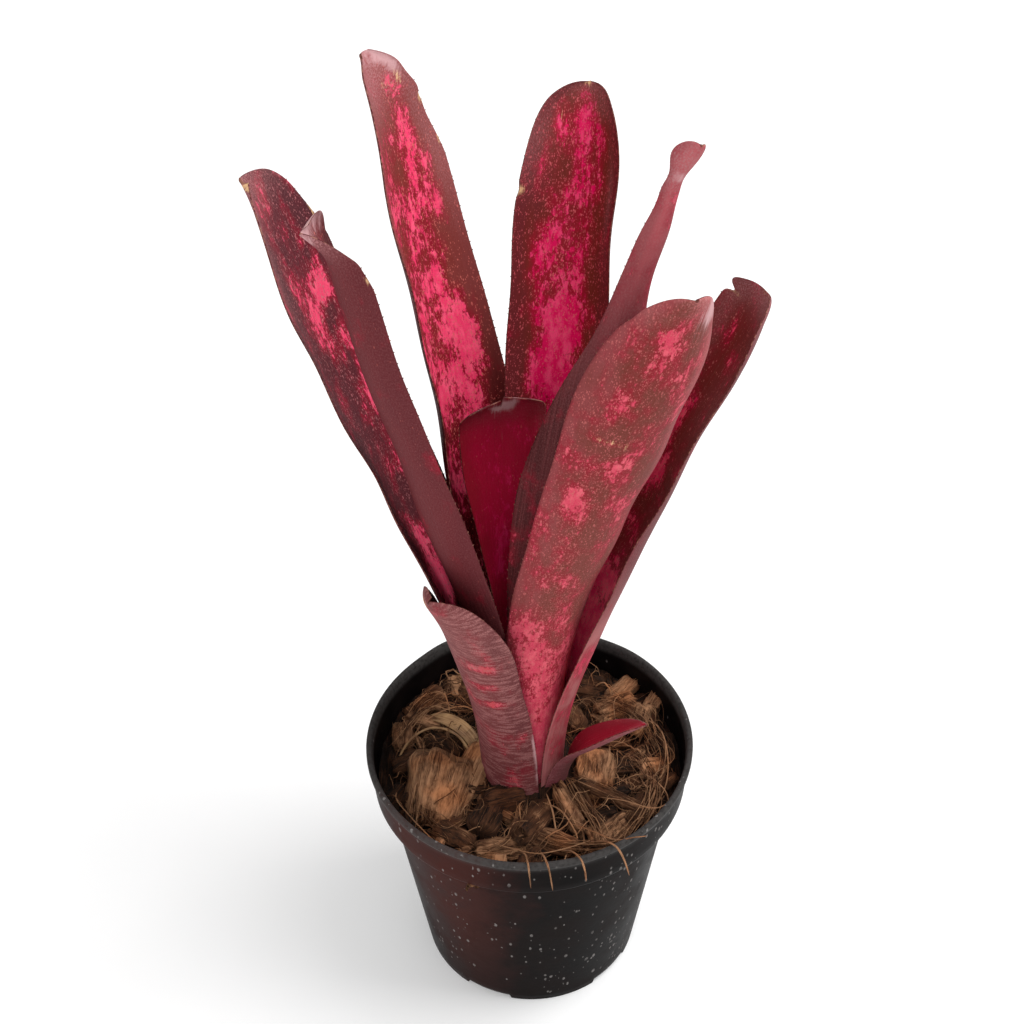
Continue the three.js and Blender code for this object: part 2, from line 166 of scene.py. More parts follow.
# %% Leaf measurements
PLANT = np.array([-2.0, -2.0])
OUTER_SHEATH, SHEATH_STEP, FIRST_LEAF_Z, LEAF_Z_STEP = 15.4, 1.42, 72.0, 4.0
UPRIGHT, SHOULDER, CURL_LENGTH, TIP_WIDTH = 0.024, 0.85, 0.07, 0.5
LEAVES = {
    "leaf_left_outer": dict(ring=1, heading=163.6, drift=18, lean=20.2, nod=-3.2, opens=0.46,
        length=266, width=(45, 50), wrap=(62, 34, 24), roll=-6, point=39, blunt=1.7, curl=0),
    "leaf_left_folded": dict(ring=3, heading=204.7, drift=4, lean=16.7, nod=-6.1, opens=0.43,
        length=260, width=(33, 26), wrap=(55, 61, 56), roll=5, point=22, blunt=1.4, curl=35),
    "leaf_back_left": dict(ring=2, heading=115, drift=15, lean=20.2, nod=-1, opens=0.36,
        length=274, width=(44, 46), wrap=(58, 63, 36), roll=30, point=41, blunt=1.4, curl=30),
    "leaf_back": dict(ring=3, heading=73, drift=1, lean=20.7, nod=1.9, opens=0.39,
        length=256, width=(37, 46), wrap=(64, 42, 75), roll=-8, point=43, blunt=2.4, curl=0),
    "leaf_right_slender": dict(ring=4, heading=331.2, drift=-7, lean=9, nod=7.5, opens=0.5,
        length=280, width=(43, 12), wrap=(71, 60, 77), roll=-42, point=31, blunt=1.1, curl=20),
    "leaf_front_broad": dict(ring=2, heading=303.7, drift=21, lean=17.6, nod=1.2, opens=0.59,
        length=253, width=(37, 43), wrap=(56, 50, 59), roll=-37, point=47, blunt=2, curl=0),
    "leaf_right": dict(ring=1, heading=8.1, drift=-4, lean=16.4, nod=8.8, opens=0.35,
        length=229, width=(42, 36), wrap=(73, 56, 41), roll=5, point=22, blunt=1.6, curl=0),
    "leaf_centre_short": dict(ring=5, heading=102.3, drift=2, lean=10.5, nod=1.5, opens=0.35,
        length=148, width=(25, 31), wrap=(80, 85, 31), roll=1, point=8, blunt=2.2, curl=-40),
    "leaf_front_short": dict(ring=0, heading=225, drift=0, lean=9.3, nod=16, opens=0.59,
        length=137, width=(35, 48), wrap=(65, 66, 58), roll=4, point=86, blunt=2.2, curl=0),
    "leaf_front_low": dict(ring=0, heading=330.6, drift=-21, lean=37, nod=5.1, opens=0.64,
        length=89, width=(17, 18), wrap=(33, 63, 51), roll=19, point=50, blunt=1.4, curl=0),
}

# %% Leaf surface
def along(s, base, middle, shoulder):
    """The value at s of three stations at 0, 0.5 and the shoulder, joined by smooth steps."""
    lower = base + (middle - base) * ease(s, 0, 0.5)
    return np.where(s < 0.5, lower, middle + (shoulder - middle) * ease(s, 0.5, SHOULDER))


def leaf_rows(leaf, s):
    """Middle points, ways across and inwards, half widths and half arcs at s. The lean
    is lean * ease + nod * s^2 + curl over the last stretch; the middle line is the sum
    of unit steps in that direction, and the two ways are then rolled about it."""
    middle = (s + np.r_[0, s[:-1]]) / 2
    step = np.diff(np.r_[0, s]) * leaf["length"]
    way = np.radians(leaf["heading"] + leaf["drift"] * middle)
    curled = np.clip((middle - 1 + CURL_LENGTH) / CURL_LENGTH, 0, None)
    lean = np.radians(leaf["lean"] * ease(middle, UPRIGHT, leaf["opens"])
                      + leaf["nod"] * middle**2 + leaf["curl"] * curled)
    tangent = np.stack([np.sin(lean) * np.cos(way), np.sin(lean) * np.sin(way), np.cos(lean)], 1)
    radius = OUTER_SHEATH - SHEATH_STEP * leaf["ring"]
    start = np.radians(leaf["heading"])
    foot = np.array([PLANT[0] + radius * np.cos(start), PLANT[1] + radius * np.sin(start),
                     FIRST_LEAF_Z + LEAF_Z_STEP * leaf["ring"]])
    points = foot + np.cumsum(tangent * step[:, None], 0)
    across = np.stack([-np.sin(way), np.cos(way), 0 * way], 1)
    inwards = np.cross(tangent, across)
    turn = (np.radians(leaf["roll"]) * ease(s, 0.1, SHOULDER))[:, None]
    across, inwards = (across * np.cos(turn) + inwards * np.sin(turn),
                       inwards * np.cos(turn) - across * np.sin(turn))
    half = half_width(leaf, s, radius)
    arc = np.radians(along(s, *leaf["wrap"]))
    return points, across, inwards, half, arc


def half_width(leaf, s, radius):
    """Half the flat width: the stations, times a rounded end (1 - (1 - t)^b)^(1/b),
    where t is the way left to the tip over the length of the point, times any neck."""
    sheath = radius * np.radians(leaf["wrap"][0])
    left = (1 - s) * leaf["length"]
    t = np.clip(left / leaf["point"], 0, 1)
    end = (1 - (1 - t) ** leaf["blunt"]) ** (1 / leaf["blunt"])
    width = along(s, sheath, leaf["width"][0] / 2, leaf["width"][1] / 2) * end
    for where, long, more in leaf.get("waist", []):
        width = width + more * np.exp(-((s - where) / long) ** 2) * np.sqrt(np.minimum(1, left / 3))
    return np.maximum(width, TIP_WIDTH)

print(len(LEAVES), "leaves, the longest", max(leaf["length"] for leaf in LEAVES.values()), "mm")

# %% [markdown]
# No leaf ends as cleanly as a formula. Tips are torn, nicked and folded, and one has
# dried to a narrow neck and a small spoon. Those are small shifts of the surface, each
# a soft bell round one spot of the leaf, so they are kept as short lists. Bells
# also say where the leaf is pink, dusty or dried to tan, which the shaders read later.

# %% Bells on a leaf
def bells(u, s, spots):
    """Sum of strength * exp(-((u - u0) / wide)^2 - ((s - s0) / long)^2) over the spots
    (u0, s0, wide, long, strength)."""
    total = np.zeros(np.broadcast(u, s).shape)
    for u0, s0, wide, long, strength in spots:
        total += strength * np.exp(-((u - u0) / wide) ** 2 - ((s - s0) / long) ** 2)
    return total


TORN = {
    "leaf_left_outer": dict(
        sideways=[(0.5, 1.0, 2.0, 0.014, 4.4), (1, 0.972, 0.3, 0.008, -1.2), (-1, 0.955, 0.6, 0.03, -1.6)],
        forwards=[(-0.8, 0.985, 0.7, 0.03, 1.2)]),
    "leaf_left_folded": dict(
        sideways=[(-1, 0.982, 1.0, 0.020, -6.6), (1, 0.95, 0.3, 0.008, 0.5)],
        forwards=[(-1, 1.0, 1.0, 0.02, -2.2)]),
    "leaf_back_left": dict(
        sideways=[(-1, 0.985, 0.8, 0.022, -5.0), (-1, 0.945, 0.5, 0.026, -3.2),
                  (-1, 0.93, 0.2, 0.006, 0.6)],
        forwards=[(0.9, 1.0, 0.8, 0.035, -2.8), (-1, 0.985, 0.6, 0.02, -0.6)]),
    "leaf_back": dict(
        sideways=[(1, 0.856, 0.2, 0.008, -0.9), (0.3, 1.0, 0.3, 0.004, 0.3)],
        forwards=[(0.25, 1.0, 0.25, 0.01, 0.3), (0, 1.0, 2.0, 0.03, -1.0)]),
    "leaf_right_slender": dict(
        blunt=2.1, point=9, waist=[(0.925, 0.04, -2.4), (0.953, 0.015, -1.7)],
        forwards=[(0, 1.0, 9, 0.02, -0.6)]),
    "leaf_front_broad": dict(
        sideways=[(-1, 0.95, 0.2, 0.01, 0.5)], forwards=[(0.9, 0.97, 0.5, 0.03, 1.6)]),
    "leaf_right": dict(
        blunt=2.6, sideways=[(1, 0.953, 0.3, 0.008, -2.6), (1, 0.975, 0.4, 0.012, 1.6)],
        forwards=[(1, 0.94, 0.25, 0.01, 0.8), (0, 1.0, 3.0, 0.05, -3.6)]),
    "leaf_centre_short": dict(
        blunt=3.2,
        forwards=[(-0.95, 1.0, 0.45, 0.06, 5.2), (0.95, 1.0, 0.45, 0.06, 3.0),
                  (0.12, 1.0, 0.22, 0.02, -1.3), (-0.45, 1.0, 0.2, 0.02, 0.7), (0.6, 1.0, 0.15, 0.02, -0.6)]),
    "leaf_front_short": dict(
        sideways=[(-1, 0.99, 1.4, 0.035, -2.2)], forwards=[(-0.5, 1.0, 2.0, 0.07, -5.5)]),
}

# %% [markdown]
# A real leaf is about a millimetre thick along its middle and thins to a sharp
# margin. So the cross-section is one closed loop: out along the back, round the
# margin, and home along the inner face. Long soft waves keep it from looking pressed.
# The grid keeps two numbers for the shaders, how far along and how far across.

# %% Leaf body
FIELDS = ("pink", "dust", "tan", "white")
ROWS, COLUMNS = 220, 30
THICK, THIN = 1.0, 0.3
MARGIN_WAVE, MIDDLE_WAVE = 45.0, 70.0
UV_APART = (0.37, 0.61)
RNG = np.random.default_rng(5)


def leaf_points(leaf, rows, u, side, wave=0.5):
    """Points of a face at each row and each u from -1 to 1. A circular arc of radius
    half / arc is offset by half the thickness, and two sine waves along the leaf are
    added along the face's normal: one for the margins and one for the middle."""
    points, across, inwards, half, arc = rows["frame"]
    bend = (half / arc)[:, None]
    angle = u[None] * arc[:, None]
    thick = THICK + (THIN - THICK) * np.abs(u[None]) ** 2.5
    s = rows["s"][:, None]
    turns = s * leaf["length"] * 6.28
    ripple = np.sin(turns / MARGIN_WAVE + leaf["heading"]) * u + np.sin(turns / MIDDLE_WAVE + 2) * (1 - u**2)
    depth = thick * 0.5 * side - wave * ripple * ease(s, 0.3, 0.6) * (1 - ease(s, 0.97, 1.0))
    x = (bend - depth) * np.sin(angle)
    y = bend - (bend - depth) * np.cos(angle)
    sideways = bells(u[None], s, leaf.get("sideways", []))
    forwards = bells(u[None], s, leaf.get("forwards", []))
    x, y = x + sideways * np.cos(angle), y + sideways * np.sin(angle)
    tangent = np.cross(across, inwards)[:, None]
    surface = points[:, None] + across[:, None] * x[..., None] + inwards[:, None] * y[..., None]
    return surface + tangent * forwards[..., None]


def leaf_body(leaf, number):
    """The leaf as one closed loop of columns for each row: the outer face from -1 to 1
    and the inner face back. Both ends are closed by quads between the faces."""
    s = 1 - (1 - np.linspace(0, 1, ROWS)) ** 1.3
    rows = {"s": s, "frame": leaf_rows(leaf, s)}
    u = np.sin(np.linspace(-1, 1, COLUMNS) * np.pi / 2) * 0.35 + np.linspace(-1, 1, COLUMNS) * 0.65
    outer = leaf_points(leaf, rows, u, -1)
    inner = leaf_points(leaf, rows, u[::-1], 1)
    points = np.concatenate([outer, inner], 1)
    ring = 2 * COLUMNS
    faces = grid_faces(ROWS, ring, True)
    column = faces[:, 0] % ring
    slots = np.where(column < COLUMNS - 1, 0, np.where(column < ring - 1, 1, 0))
    slots = np.where((column == COLUMNS - 1) | (column == ring - 1), 2, slots)
    k = np.arange(COLUMNS - 1)
    base = np.stack([k, ring - 1 - k, ring - 2 - k, k + 1], 1)
    tip = base[:, ::-1] + (ROWS - 1) * ring
    faces = np.concatenate([faces, base, tip])
    slots = np.concatenate([slots, np.full(2 * len(k), 2)])
    across = np.concatenate([u, u[::-1]])
    way = np.broadcast_to(s[:, None], (ROWS, ring)).ravel()
    wide = (rows["frame"][3][:, None] * across[None]).ravel()
    uv = np.stack([wide * MM + UV_APART[0] * number, way * leaf["length"] * MM + UV_APART[1] * number], 1)
    marks = {"across": np.broadcast_to(across, (ROWS, ring)).ravel(), "along": way}
    for key in FIELDS:
        marks[key] = bells(across[None], s[:, None], leaf.get(key, [])).ravel()
    return (points.reshape(-1, 3), faces, uv, marks, slots), rows

# %% [markdown]
# Both margins carry small hooked spines, about three millimetres apart and under one
# long. There are over a thousand, so each is only a bent cone of five sides, and all of a
# leaf's spines are worked out at once and become part of its mesh.

# %% Marginal spines
SPINE_SPACING, SPINE_LENGTH, SPINE_RADIUS, SPINE_SIDES = 3.2, 0.55, 0.17, 5
SPINE_STEPS, SPINE_TAPER = np.array([-0.15, 0.3, 0.65, 1.0]), np.array([1.5, 0.8, 0.45, 0.08])


def margin_spines(leaf, rows, number):
    """Bent cones along both margins. A spine has a ring at each step t, whose middle is
    base + length * (t * outwards + 0.75 t |t| * forwards), and its radius tapers."""
    s, half = rows["s"], rows["frame"][3]
    one, size_of_one = grid_faces(4, SPINE_SIDES, True)[:, ::-1], 4 * SPINE_SIDES
    turn = np.arange(SPINE_SIDES) / SPINE_SIDES * 2 * np.pi
    t = SPINE_STEPS[None, :, None, None]
    radius = SPINE_RADIUS * SPINE_TAPER[None, :, None, None]
    parts = []
    for edge in (-1.0, 1.0):
        line = leaf_points(leaf, rows, np.array([edge * 0.985, edge]), 0)
        count = int(leaf["length"] * 0.84 / SPINE_SPACING)
        at = 0.1 + 0.86 * (np.arange(count) + RNG.uniform(-0.3, 0.3, count)) / count
        row = np.interp(at, s, np.arange(len(s)))
        low, share = row.astype(int), (row % 1)[:, None]
        base = line[low, 1] * (1 - share) + line[low + 1, 1] * share
        out = line[low, 1] - line[low, 0]
        out /= np.linalg.norm(out, axis=1)[:, None]
        forward = line[low + 1, 1] - line[low, 1]
        forward /= np.linalg.norm(forward, axis=1)[:, None]
        third = np.cross(out, forward)
        size = (SPINE_LENGTH * RNG.uniform(0.6, 1.15, count))[:, None, None, None]
        bent = t * out[:, None, None] + 0.75 * t * np.abs(t) * forward[:, None, None]
        middle = base[:, None, None] + size * bent
        ring = (np.cos(turn)[None, None, :, None] * forward[:, None, None] * 1.3
                + np.sin(turn)[None, None, :, None] * third[:, None, None] * 0.8)
        cone = (middle + radius * ring).reshape(-1, 3)
        ends = (np.arange(count) + 1) * size_of_one
        faces = (one[None] + (ends - size_of_one)[:, None, None]).reshape(-1, 4)
        caps = [list(range(end - SPINE_SIDES, end))[::-1] for end in ends]
        way = np.repeat(at, size_of_one)
        sideways = np.full(len(way), UV_APART[0] * number + edge * half.mean() * MM)
        uv = np.stack([sideways, way * leaf["length"] * MM], 1)
        marks = {"across": np.full(len(way), edge), "along": way}
        marks.update({key: np.zeros(len(way)) for key in FIELDS})
        parts.append((cone, list(faces) + caps, uv, marks, 2))
    return parts

# %% [markdown]
# ## Shader tools
# A finish is a small network. These helpers add a node, and link or set its inputs by
# name, so each recipe below reads as a list of steps.

# %% Shader helpers
def wire(tree, target, value):
    """Links a socket to target, or sets target to a number, colour or vector."""
    if isinstance(value, bpy.types.NodeSocket):
        tree.links.new(value, target)
    else:
        target.default_value = value


def put(tree, kind, settings=None, **inputs):
    """Adds a node of that kind, with its settings and its inputs by name."""
    node = tree.nodes.new("ShaderNode" + kind)
    for key, value in (settings or {}).items():
        setattr(node, key, value)
    for key, value in inputs.items():
        wire(tree, node.inputs[key.replace("_", " ")], value)
    return node


def calc(tree, operation, *values):
    """One math step."""
    node = put(tree, "Math", {"operation": operation})
    for socket, value in zip(node.inputs, values):
        wire(tree, socket, value)
    return node.outputs[0]


def mixed(tree, share, first, second, mode="MIX"):
    """The colour between first and second by share."""
    node = put(tree, "Mix", {"data_type": "RGBA", "blend_type": mode})
    for index, value in ((0, share), (6, first), (7, second)):
        wire(tree, node.inputs[index], value)
    return node.outputs[2]


def rise(tree, value, low, high, bottom=0.0, top=1.0):
    """A smooth step of value from low to high, mapped from bottom to top."""
    node = put(tree, "MapRange", {"interpolation_type": "SMOOTHSTEP"}, Value=value)
    for key, number in (("From Min", low), ("From Max", high), ("To Min", bottom), ("To Max", top)):
        wire(tree, node.inputs[key], number)
    return node.outputs[0]


def noise(tree, vector, scale, detail=3.0, rough=0.5, bend=0.0):
    """Fractal noise around 0.5."""
    node = put(tree, "TexNoise", Vector=vector, Scale=scale, Detail=detail, Roughness=rough,
               Distortion=bend)
    return node.outputs["Fac"]


def scaled(tree, vector, factors):
    """The vector times three factors."""
    node = put(tree, "VectorMath", {"operation": "MULTIPLY"})
    wire(tree, node.inputs[0], vector)
    wire(tree, node.inputs[1], factors)
    return node.outputs[0]


def bumped(tree, height, strength, distance):
    """A normal from a height mask, where distance is the depth in metres of a height of one."""
    return put(tree, "Bump", Strength=strength, Distance=distance, Height=height).outputs["Normal"]


def round_dots(tree, place, scale, limit, grow, least, soft):
    """A mask of round dots, at most one in each cell: a cell has one where its first
    random number is under limit, and its reach is the second times grow, plus least."""
    cell = put(tree, "TexVoronoi", Vector=place, Scale=scale)
    chosen = put(tree, "SeparateColor", Color=cell.outputs["Color"])
    picked = calc(tree, "LESS_THAN", chosen.outputs[0], limit)
    reach = calc(tree, "MULTIPLY_ADD", chosen.outputs[1], grow, least)
    inside = calc(tree, "SUBTRACT", reach, cell.outputs["Distance"])
    return calc(tree, "MULTIPLY", rise(tree, inside, *soft), picked)


def group(name, inputs, outputs):
    """An empty shader node group with float, vector or colour sockets."""
    tree = bpy.data.node_groups.new(name, "ShaderNodeTree")
    kinds = {"f": "NodeSocketFloat", "v": "NodeSocketVector", "c": "NodeSocketColor"}
    for direction, sockets in (("INPUT", inputs), ("OUTPUT", outputs)):
        for key, kind in sockets.items():
            tree.interface.new_socket(key, in_out=direction, socket_type=kinds[kind])
    return tree, tree.nodes.new("NodeGroupInput"), tree.nodes.new("NodeGroupOutput")


def use(tree, shared, **inputs):
    """Places a shared node group and sets its inputs."""
    node = tree.nodes.new("ShaderNodeGroup")
    node.node_tree = shared
    for key, value in inputs.items():
        wire(tree, node.inputs[key.replace("_", " ")], value)
    return node


def finish_of(name, **settings):
    """A material with one Principled shader, whose plain sockets are set directly."""
    material = bpy.data.materials.new(name)
    material.use_nodes = True
    tree = material.node_tree
    shader = tree.nodes["Principled BSDF"]
    for key, value in settings.items():
        shader.inputs[key.replace("_", " ")].default_value = value
    return material, tree, shader

# %% [markdown]
# ## Leaf markings
# The pattern has four layers. Pink patches have ragged edges, because they are made of
# many small spots that run together. Fine salmon specks stand in rows along the leaf.
# Scurf, a dust of tiny pale scales, greys the tips and the outer faces, on some in
# cross bands. Fine ribs run along the whole leaf. An image could hold all this, but
# noise and cells stay sharp at any distance. Three groups put out only masks.

# %% Patches and specks
patches, into, out = group("leaf patches", {"Place": "v", "Amount": "f"}, {"Patch": "f", "Glow": "f"})
place_in, amount_in = into.outputs["Place"], into.outputs["Amount"]
warp = put(patches, "TexNoise", Vector=place_in, Scale=500.0, Detail=2.0)
shift = put(patches, "VectorMath", {"operation": "MULTIPLY_ADD"})
wire(patches, shift.inputs[0], warp.outputs["Color"])
wire(patches, shift.inputs[1], (0.0010, 0.0024, 0.0))
wire(patches, shift.inputs[2], scaled(patches, place_in, (1.0, 0.55, 1.0)))
slow = calc(patches, "SUBTRACT", noise(patches, shift.outputs[0], 110.0, 3.0, 0.6), 0.5)
fine = calc(patches, "SUBTRACT", noise(patches, shift.outputs[0], 620.0, 4.0, 0.7), 0.5)
field = calc(patches, "MULTIPLY_ADD", slow, 2.6, amount_in)
total = rise(patches, calc(patches, "MULTIPLY_ADD", fine, 2.6, field), 0.40, 0.82)
DROPLETS = ((420.0, 0.03, 0.60, 0.7), (700.0, 0.06, 0.65, 0.85), (1150.0, 0.10, 0.75, 1.0))
for cell_scale, size, gain, spread in DROPLETS:
    cell = put(patches, "TexVoronoi", {"feature": "SMOOTH_F1"}, Vector=shift.outputs[0], Scale=cell_scale,
               Smoothness=0.3)
    chance = put(patches, "SeparateColor", Color=cell.outputs["Color"]).outputs[0]
    strength = calc(patches, "SUBTRACT", field, calc(patches, "MULTIPLY", chance, spread))
    radius = calc(patches, "MULTIPLY_ADD", strength, gain, size)
    spot = rise(patches, calc(patches, "SUBTRACT", radius, cell.outputs["Distance"]), -0.10, 0.14)
    total = calc(patches, "MAXIMUM", total, spot)
wire(patches, out.inputs["Patch"], total)
wire(patches, out.inputs["Glow"], rise(patches, field, -0.15, 0.6))

specks, into, out = group("leaf specks", {"Place": "v", "Amount": "f"}, {"Speck": "f"})
rows_place = scaled(specks, into.outputs["Place"], (1.0, 0.55, 1.0))
total = None
for cell_scale, share in ((1000.0, 0.3), (1500.0, 0.8), (2300.0, 1.0)):
    limit = calc(specks, "MULTIPLY", into.outputs["Amount"], share)
    dot = round_dots(specks, rows_place, cell_scale, limit, 0.24, 0.14, (-0.09, 0.1))
    total = dot if total is None else calc(specks, "MAXIMUM", total, dot)
wire(specks, out.inputs["Speck"], total)

# %% Scurf, ribs and bands
scurf, into, out = group("leaf scurf", {"Place": "v"}, {"Grain": "f", "Ribs": "f", "Bands": "f"})
place_in = into.outputs["Place"]
for key, stretch, scale, rough, bend in (("Grain", (1.0, 0.6, 1.0), 2300.0, 0.7, 0.0),
                                         ("Ribs", (1.0, 0.012, 1.0), 1300.0, 0.6, 0.0),
                                         ("Bands", (0.22, 1.0, 1.0), 820.0, 0.6, 0.4)):
    wire(scurf, out.inputs[key], noise(scurf, scaled(scurf, place_in, stretch), scale, 2.0, rough, bend))
print("shared leaf effects:", [g.name for g in bpy.data.node_groups])

# %% [markdown]
# One recipe turns these into a skin. Each leaf has an inner and an outer face: the
# inner ones are dark, saturated and a little glossy, the outer ones dull with scurf.
# The ground runs from one colour along the middle to another at the margins and a
# third in the tube; where the pink field is high the ground glows crimson, and the
# patches lie on it. The leaf's four bell fields, pink, dust, tan and white, steer it.

# %% Leaf skin
HOT, LIGHT, DEEP = (0.72, 0.015, 0.10, 1), (0.86, 0.085, 0.17, 1), (0.26, 0.001, 0.018, 1)
SALMON, DUSK = (0.62, 0.15, 0.12, 1), (0.36, 0.15, 0.155, 1)
TAN, MILK = (0.62, 0.38, 0.20, 1), (0.56, 0.33, 0.34, 1)


def leaf_skin(name, middle, margin, tube, foot=(0.52, 0.22), pink=0.0, speck=0.2, fleck=1.0,
              dot_colour=SALMON, dust=0.0, scales=DUSK, bands=0.0, hot=HOT, light=LIGHT, deep=DEEP,
              rough=0.5):
    """middle, margin and tube are the ground's colours, and foot where the tube's
    colour starts and is full along the leaf. pink is added to the leaf's pink field,
    speck is the share of cells with a speck and fleck how bright those are, and dust
    and bands are how much scurf there is everywhere and in bands."""
    material, tree, shader = finish_of(name, Roughness=rough, Specular_IOR_Level=0.07)
    skin = put(tree, "UVMap", {"uv_map": "skin"}).outputs[0]
    field = {key: put(tree, "Attribute", {"attribute_name": key}).outputs["Fac"]
             for key in ("across", "along") + FIELDS}
    side = calc(tree, "ABSOLUTE", field["across"])
    marks = use(tree, scurf, Place=skin)
    grain, ribs, lines = (marks.outputs[key] for key in ("Grain", "Ribs", "Bands"))
    drift = noise(tree, scaled(tree, skin, (1.0, 0.3, 1.0)), 80.0, 3.0, 0.6)
    edge = calc(tree, "MULTIPLY_ADD", calc(tree, "SUBTRACT", drift, 0.5), 1.6, side)
    colour = mixed(tree, rise(tree, edge, 0.35, 0.95), middle, margin)
    lower = rise(tree, calc(tree, "MULTIPLY_ADD", drift, 0.16, field["along"]), foot[0], foot[1])
    colour = mixed(tree, lower, colour, tube)
    colour = mixed(tree, calc(tree, "MULTIPLY", rise(tree, ribs, 0.35, 0.7), 0.22), colour, margin)
    amount = calc(tree, "ADD", field["pink"], pink)
    spots = use(tree, patches, Place=skin, Amount=amount)
    glow = spots.outputs["Glow"]
    colour = mixed(tree, calc(tree, "MULTIPLY", glow, 0.8), colour, deep)
    flecks = calc(tree, "MULTIPLY", rise(tree, drift, 0.35, 0.65, 0.25, 1.0), speck)
    dots = use(tree, specks, Place=skin, Amount=calc(tree, "MULTIPLY_ADD", glow, 0.3 * fleck, flecks))
    dot = calc(tree, "MULTIPLY", dots.outputs["Speck"], rise(tree, grain, 0.3, 0.6, 0.3, 0.8))
    blush = noise(tree, scaled(tree, skin, (1.0, 0.5, 1.0)), 260.0, 4.0, 0.6)
    vivid = mixed(tree, rise(tree, blush, 0.42, 0.62), hot, light)
    patch = calc(tree, "MULTIPLY", spots.outputs["Patch"], rise(tree, grain, 0.25, 0.55, 0.72, 1.0))
    colour = mixed(tree, patch, colour, vivid)
    colour = mixed(tree, calc(tree, "MULTIPLY", dot, fleck), colour, dot_colour)
    dusted = calc(tree, "MULTIPLY_ADD", field["dust"], 0.9, dust)
    pale = calc(tree, "MULTIPLY", rise(tree, grain, 0.40, 0.72), dusted)
    pale = calc(tree, "MULTIPLY_ADD", field["dust"], 0.35, pale)
    broken = rise(tree, grain, 0.3, 0.55, 0.35, 1.0)
    stripes = calc(tree, "MULTIPLY", rise(tree, lines, 0.46, 0.60, 0.0, bands), broken)
    pale = calc(tree, "ADD", pale, stripes)
    pale = calc(tree, "MINIMUM", calc(tree, "MAXIMUM", pale, 0.0), 0.92)
    colour = mixed(tree, pale, colour, scales)
    uneven = calc(tree, "SUBTRACT", ribs, 0.5)
    torn = calc(tree, "MULTIPLY_ADD", uneven, 1.6, field["tan"])
    torn = calc(tree, "MULTIPLY_ADD", calc(tree, "SUBTRACT", grain, 0.5), 0.8, torn)
    colour = mixed(tree, rise(tree, torn, 0.35, 0.95), colour, TAN)
    milky = calc(tree, "MULTIPLY_ADD", calc(tree, "SUBTRACT", blush, 0.5), 1.2, field["white"])
    milky = calc(tree, "MULTIPLY_ADD", uneven, 0.7, milky)
    colour = mixed(tree, rise(tree, milky, 0.25, 0.8, 0.0, 0.85), colour, MILK)
    wire(tree, shader.inputs["Base Color"], colour)
    wire(tree, shader.inputs["Roughness"], rise(tree, pale, 0.0, 0.8, rough, min(rough + 0.3, 0.85)))
    height = calc(tree, "MULTIPLY_ADD", grain, 0.3, ribs)
    height = calc(tree, "MULTIPLY_ADD", lines, 0.2 + 1.2 * bands, height)
    wire(tree, shader.inputs["Normal"], bumped(tree, height, 0.4, 0.0006))
    return material

# %% [markdown]
# The colours are named once, as a painter would lay out a palette. Then each leaf gets
# its two faces, and the bells that say where its patches, dust and dry spots are.

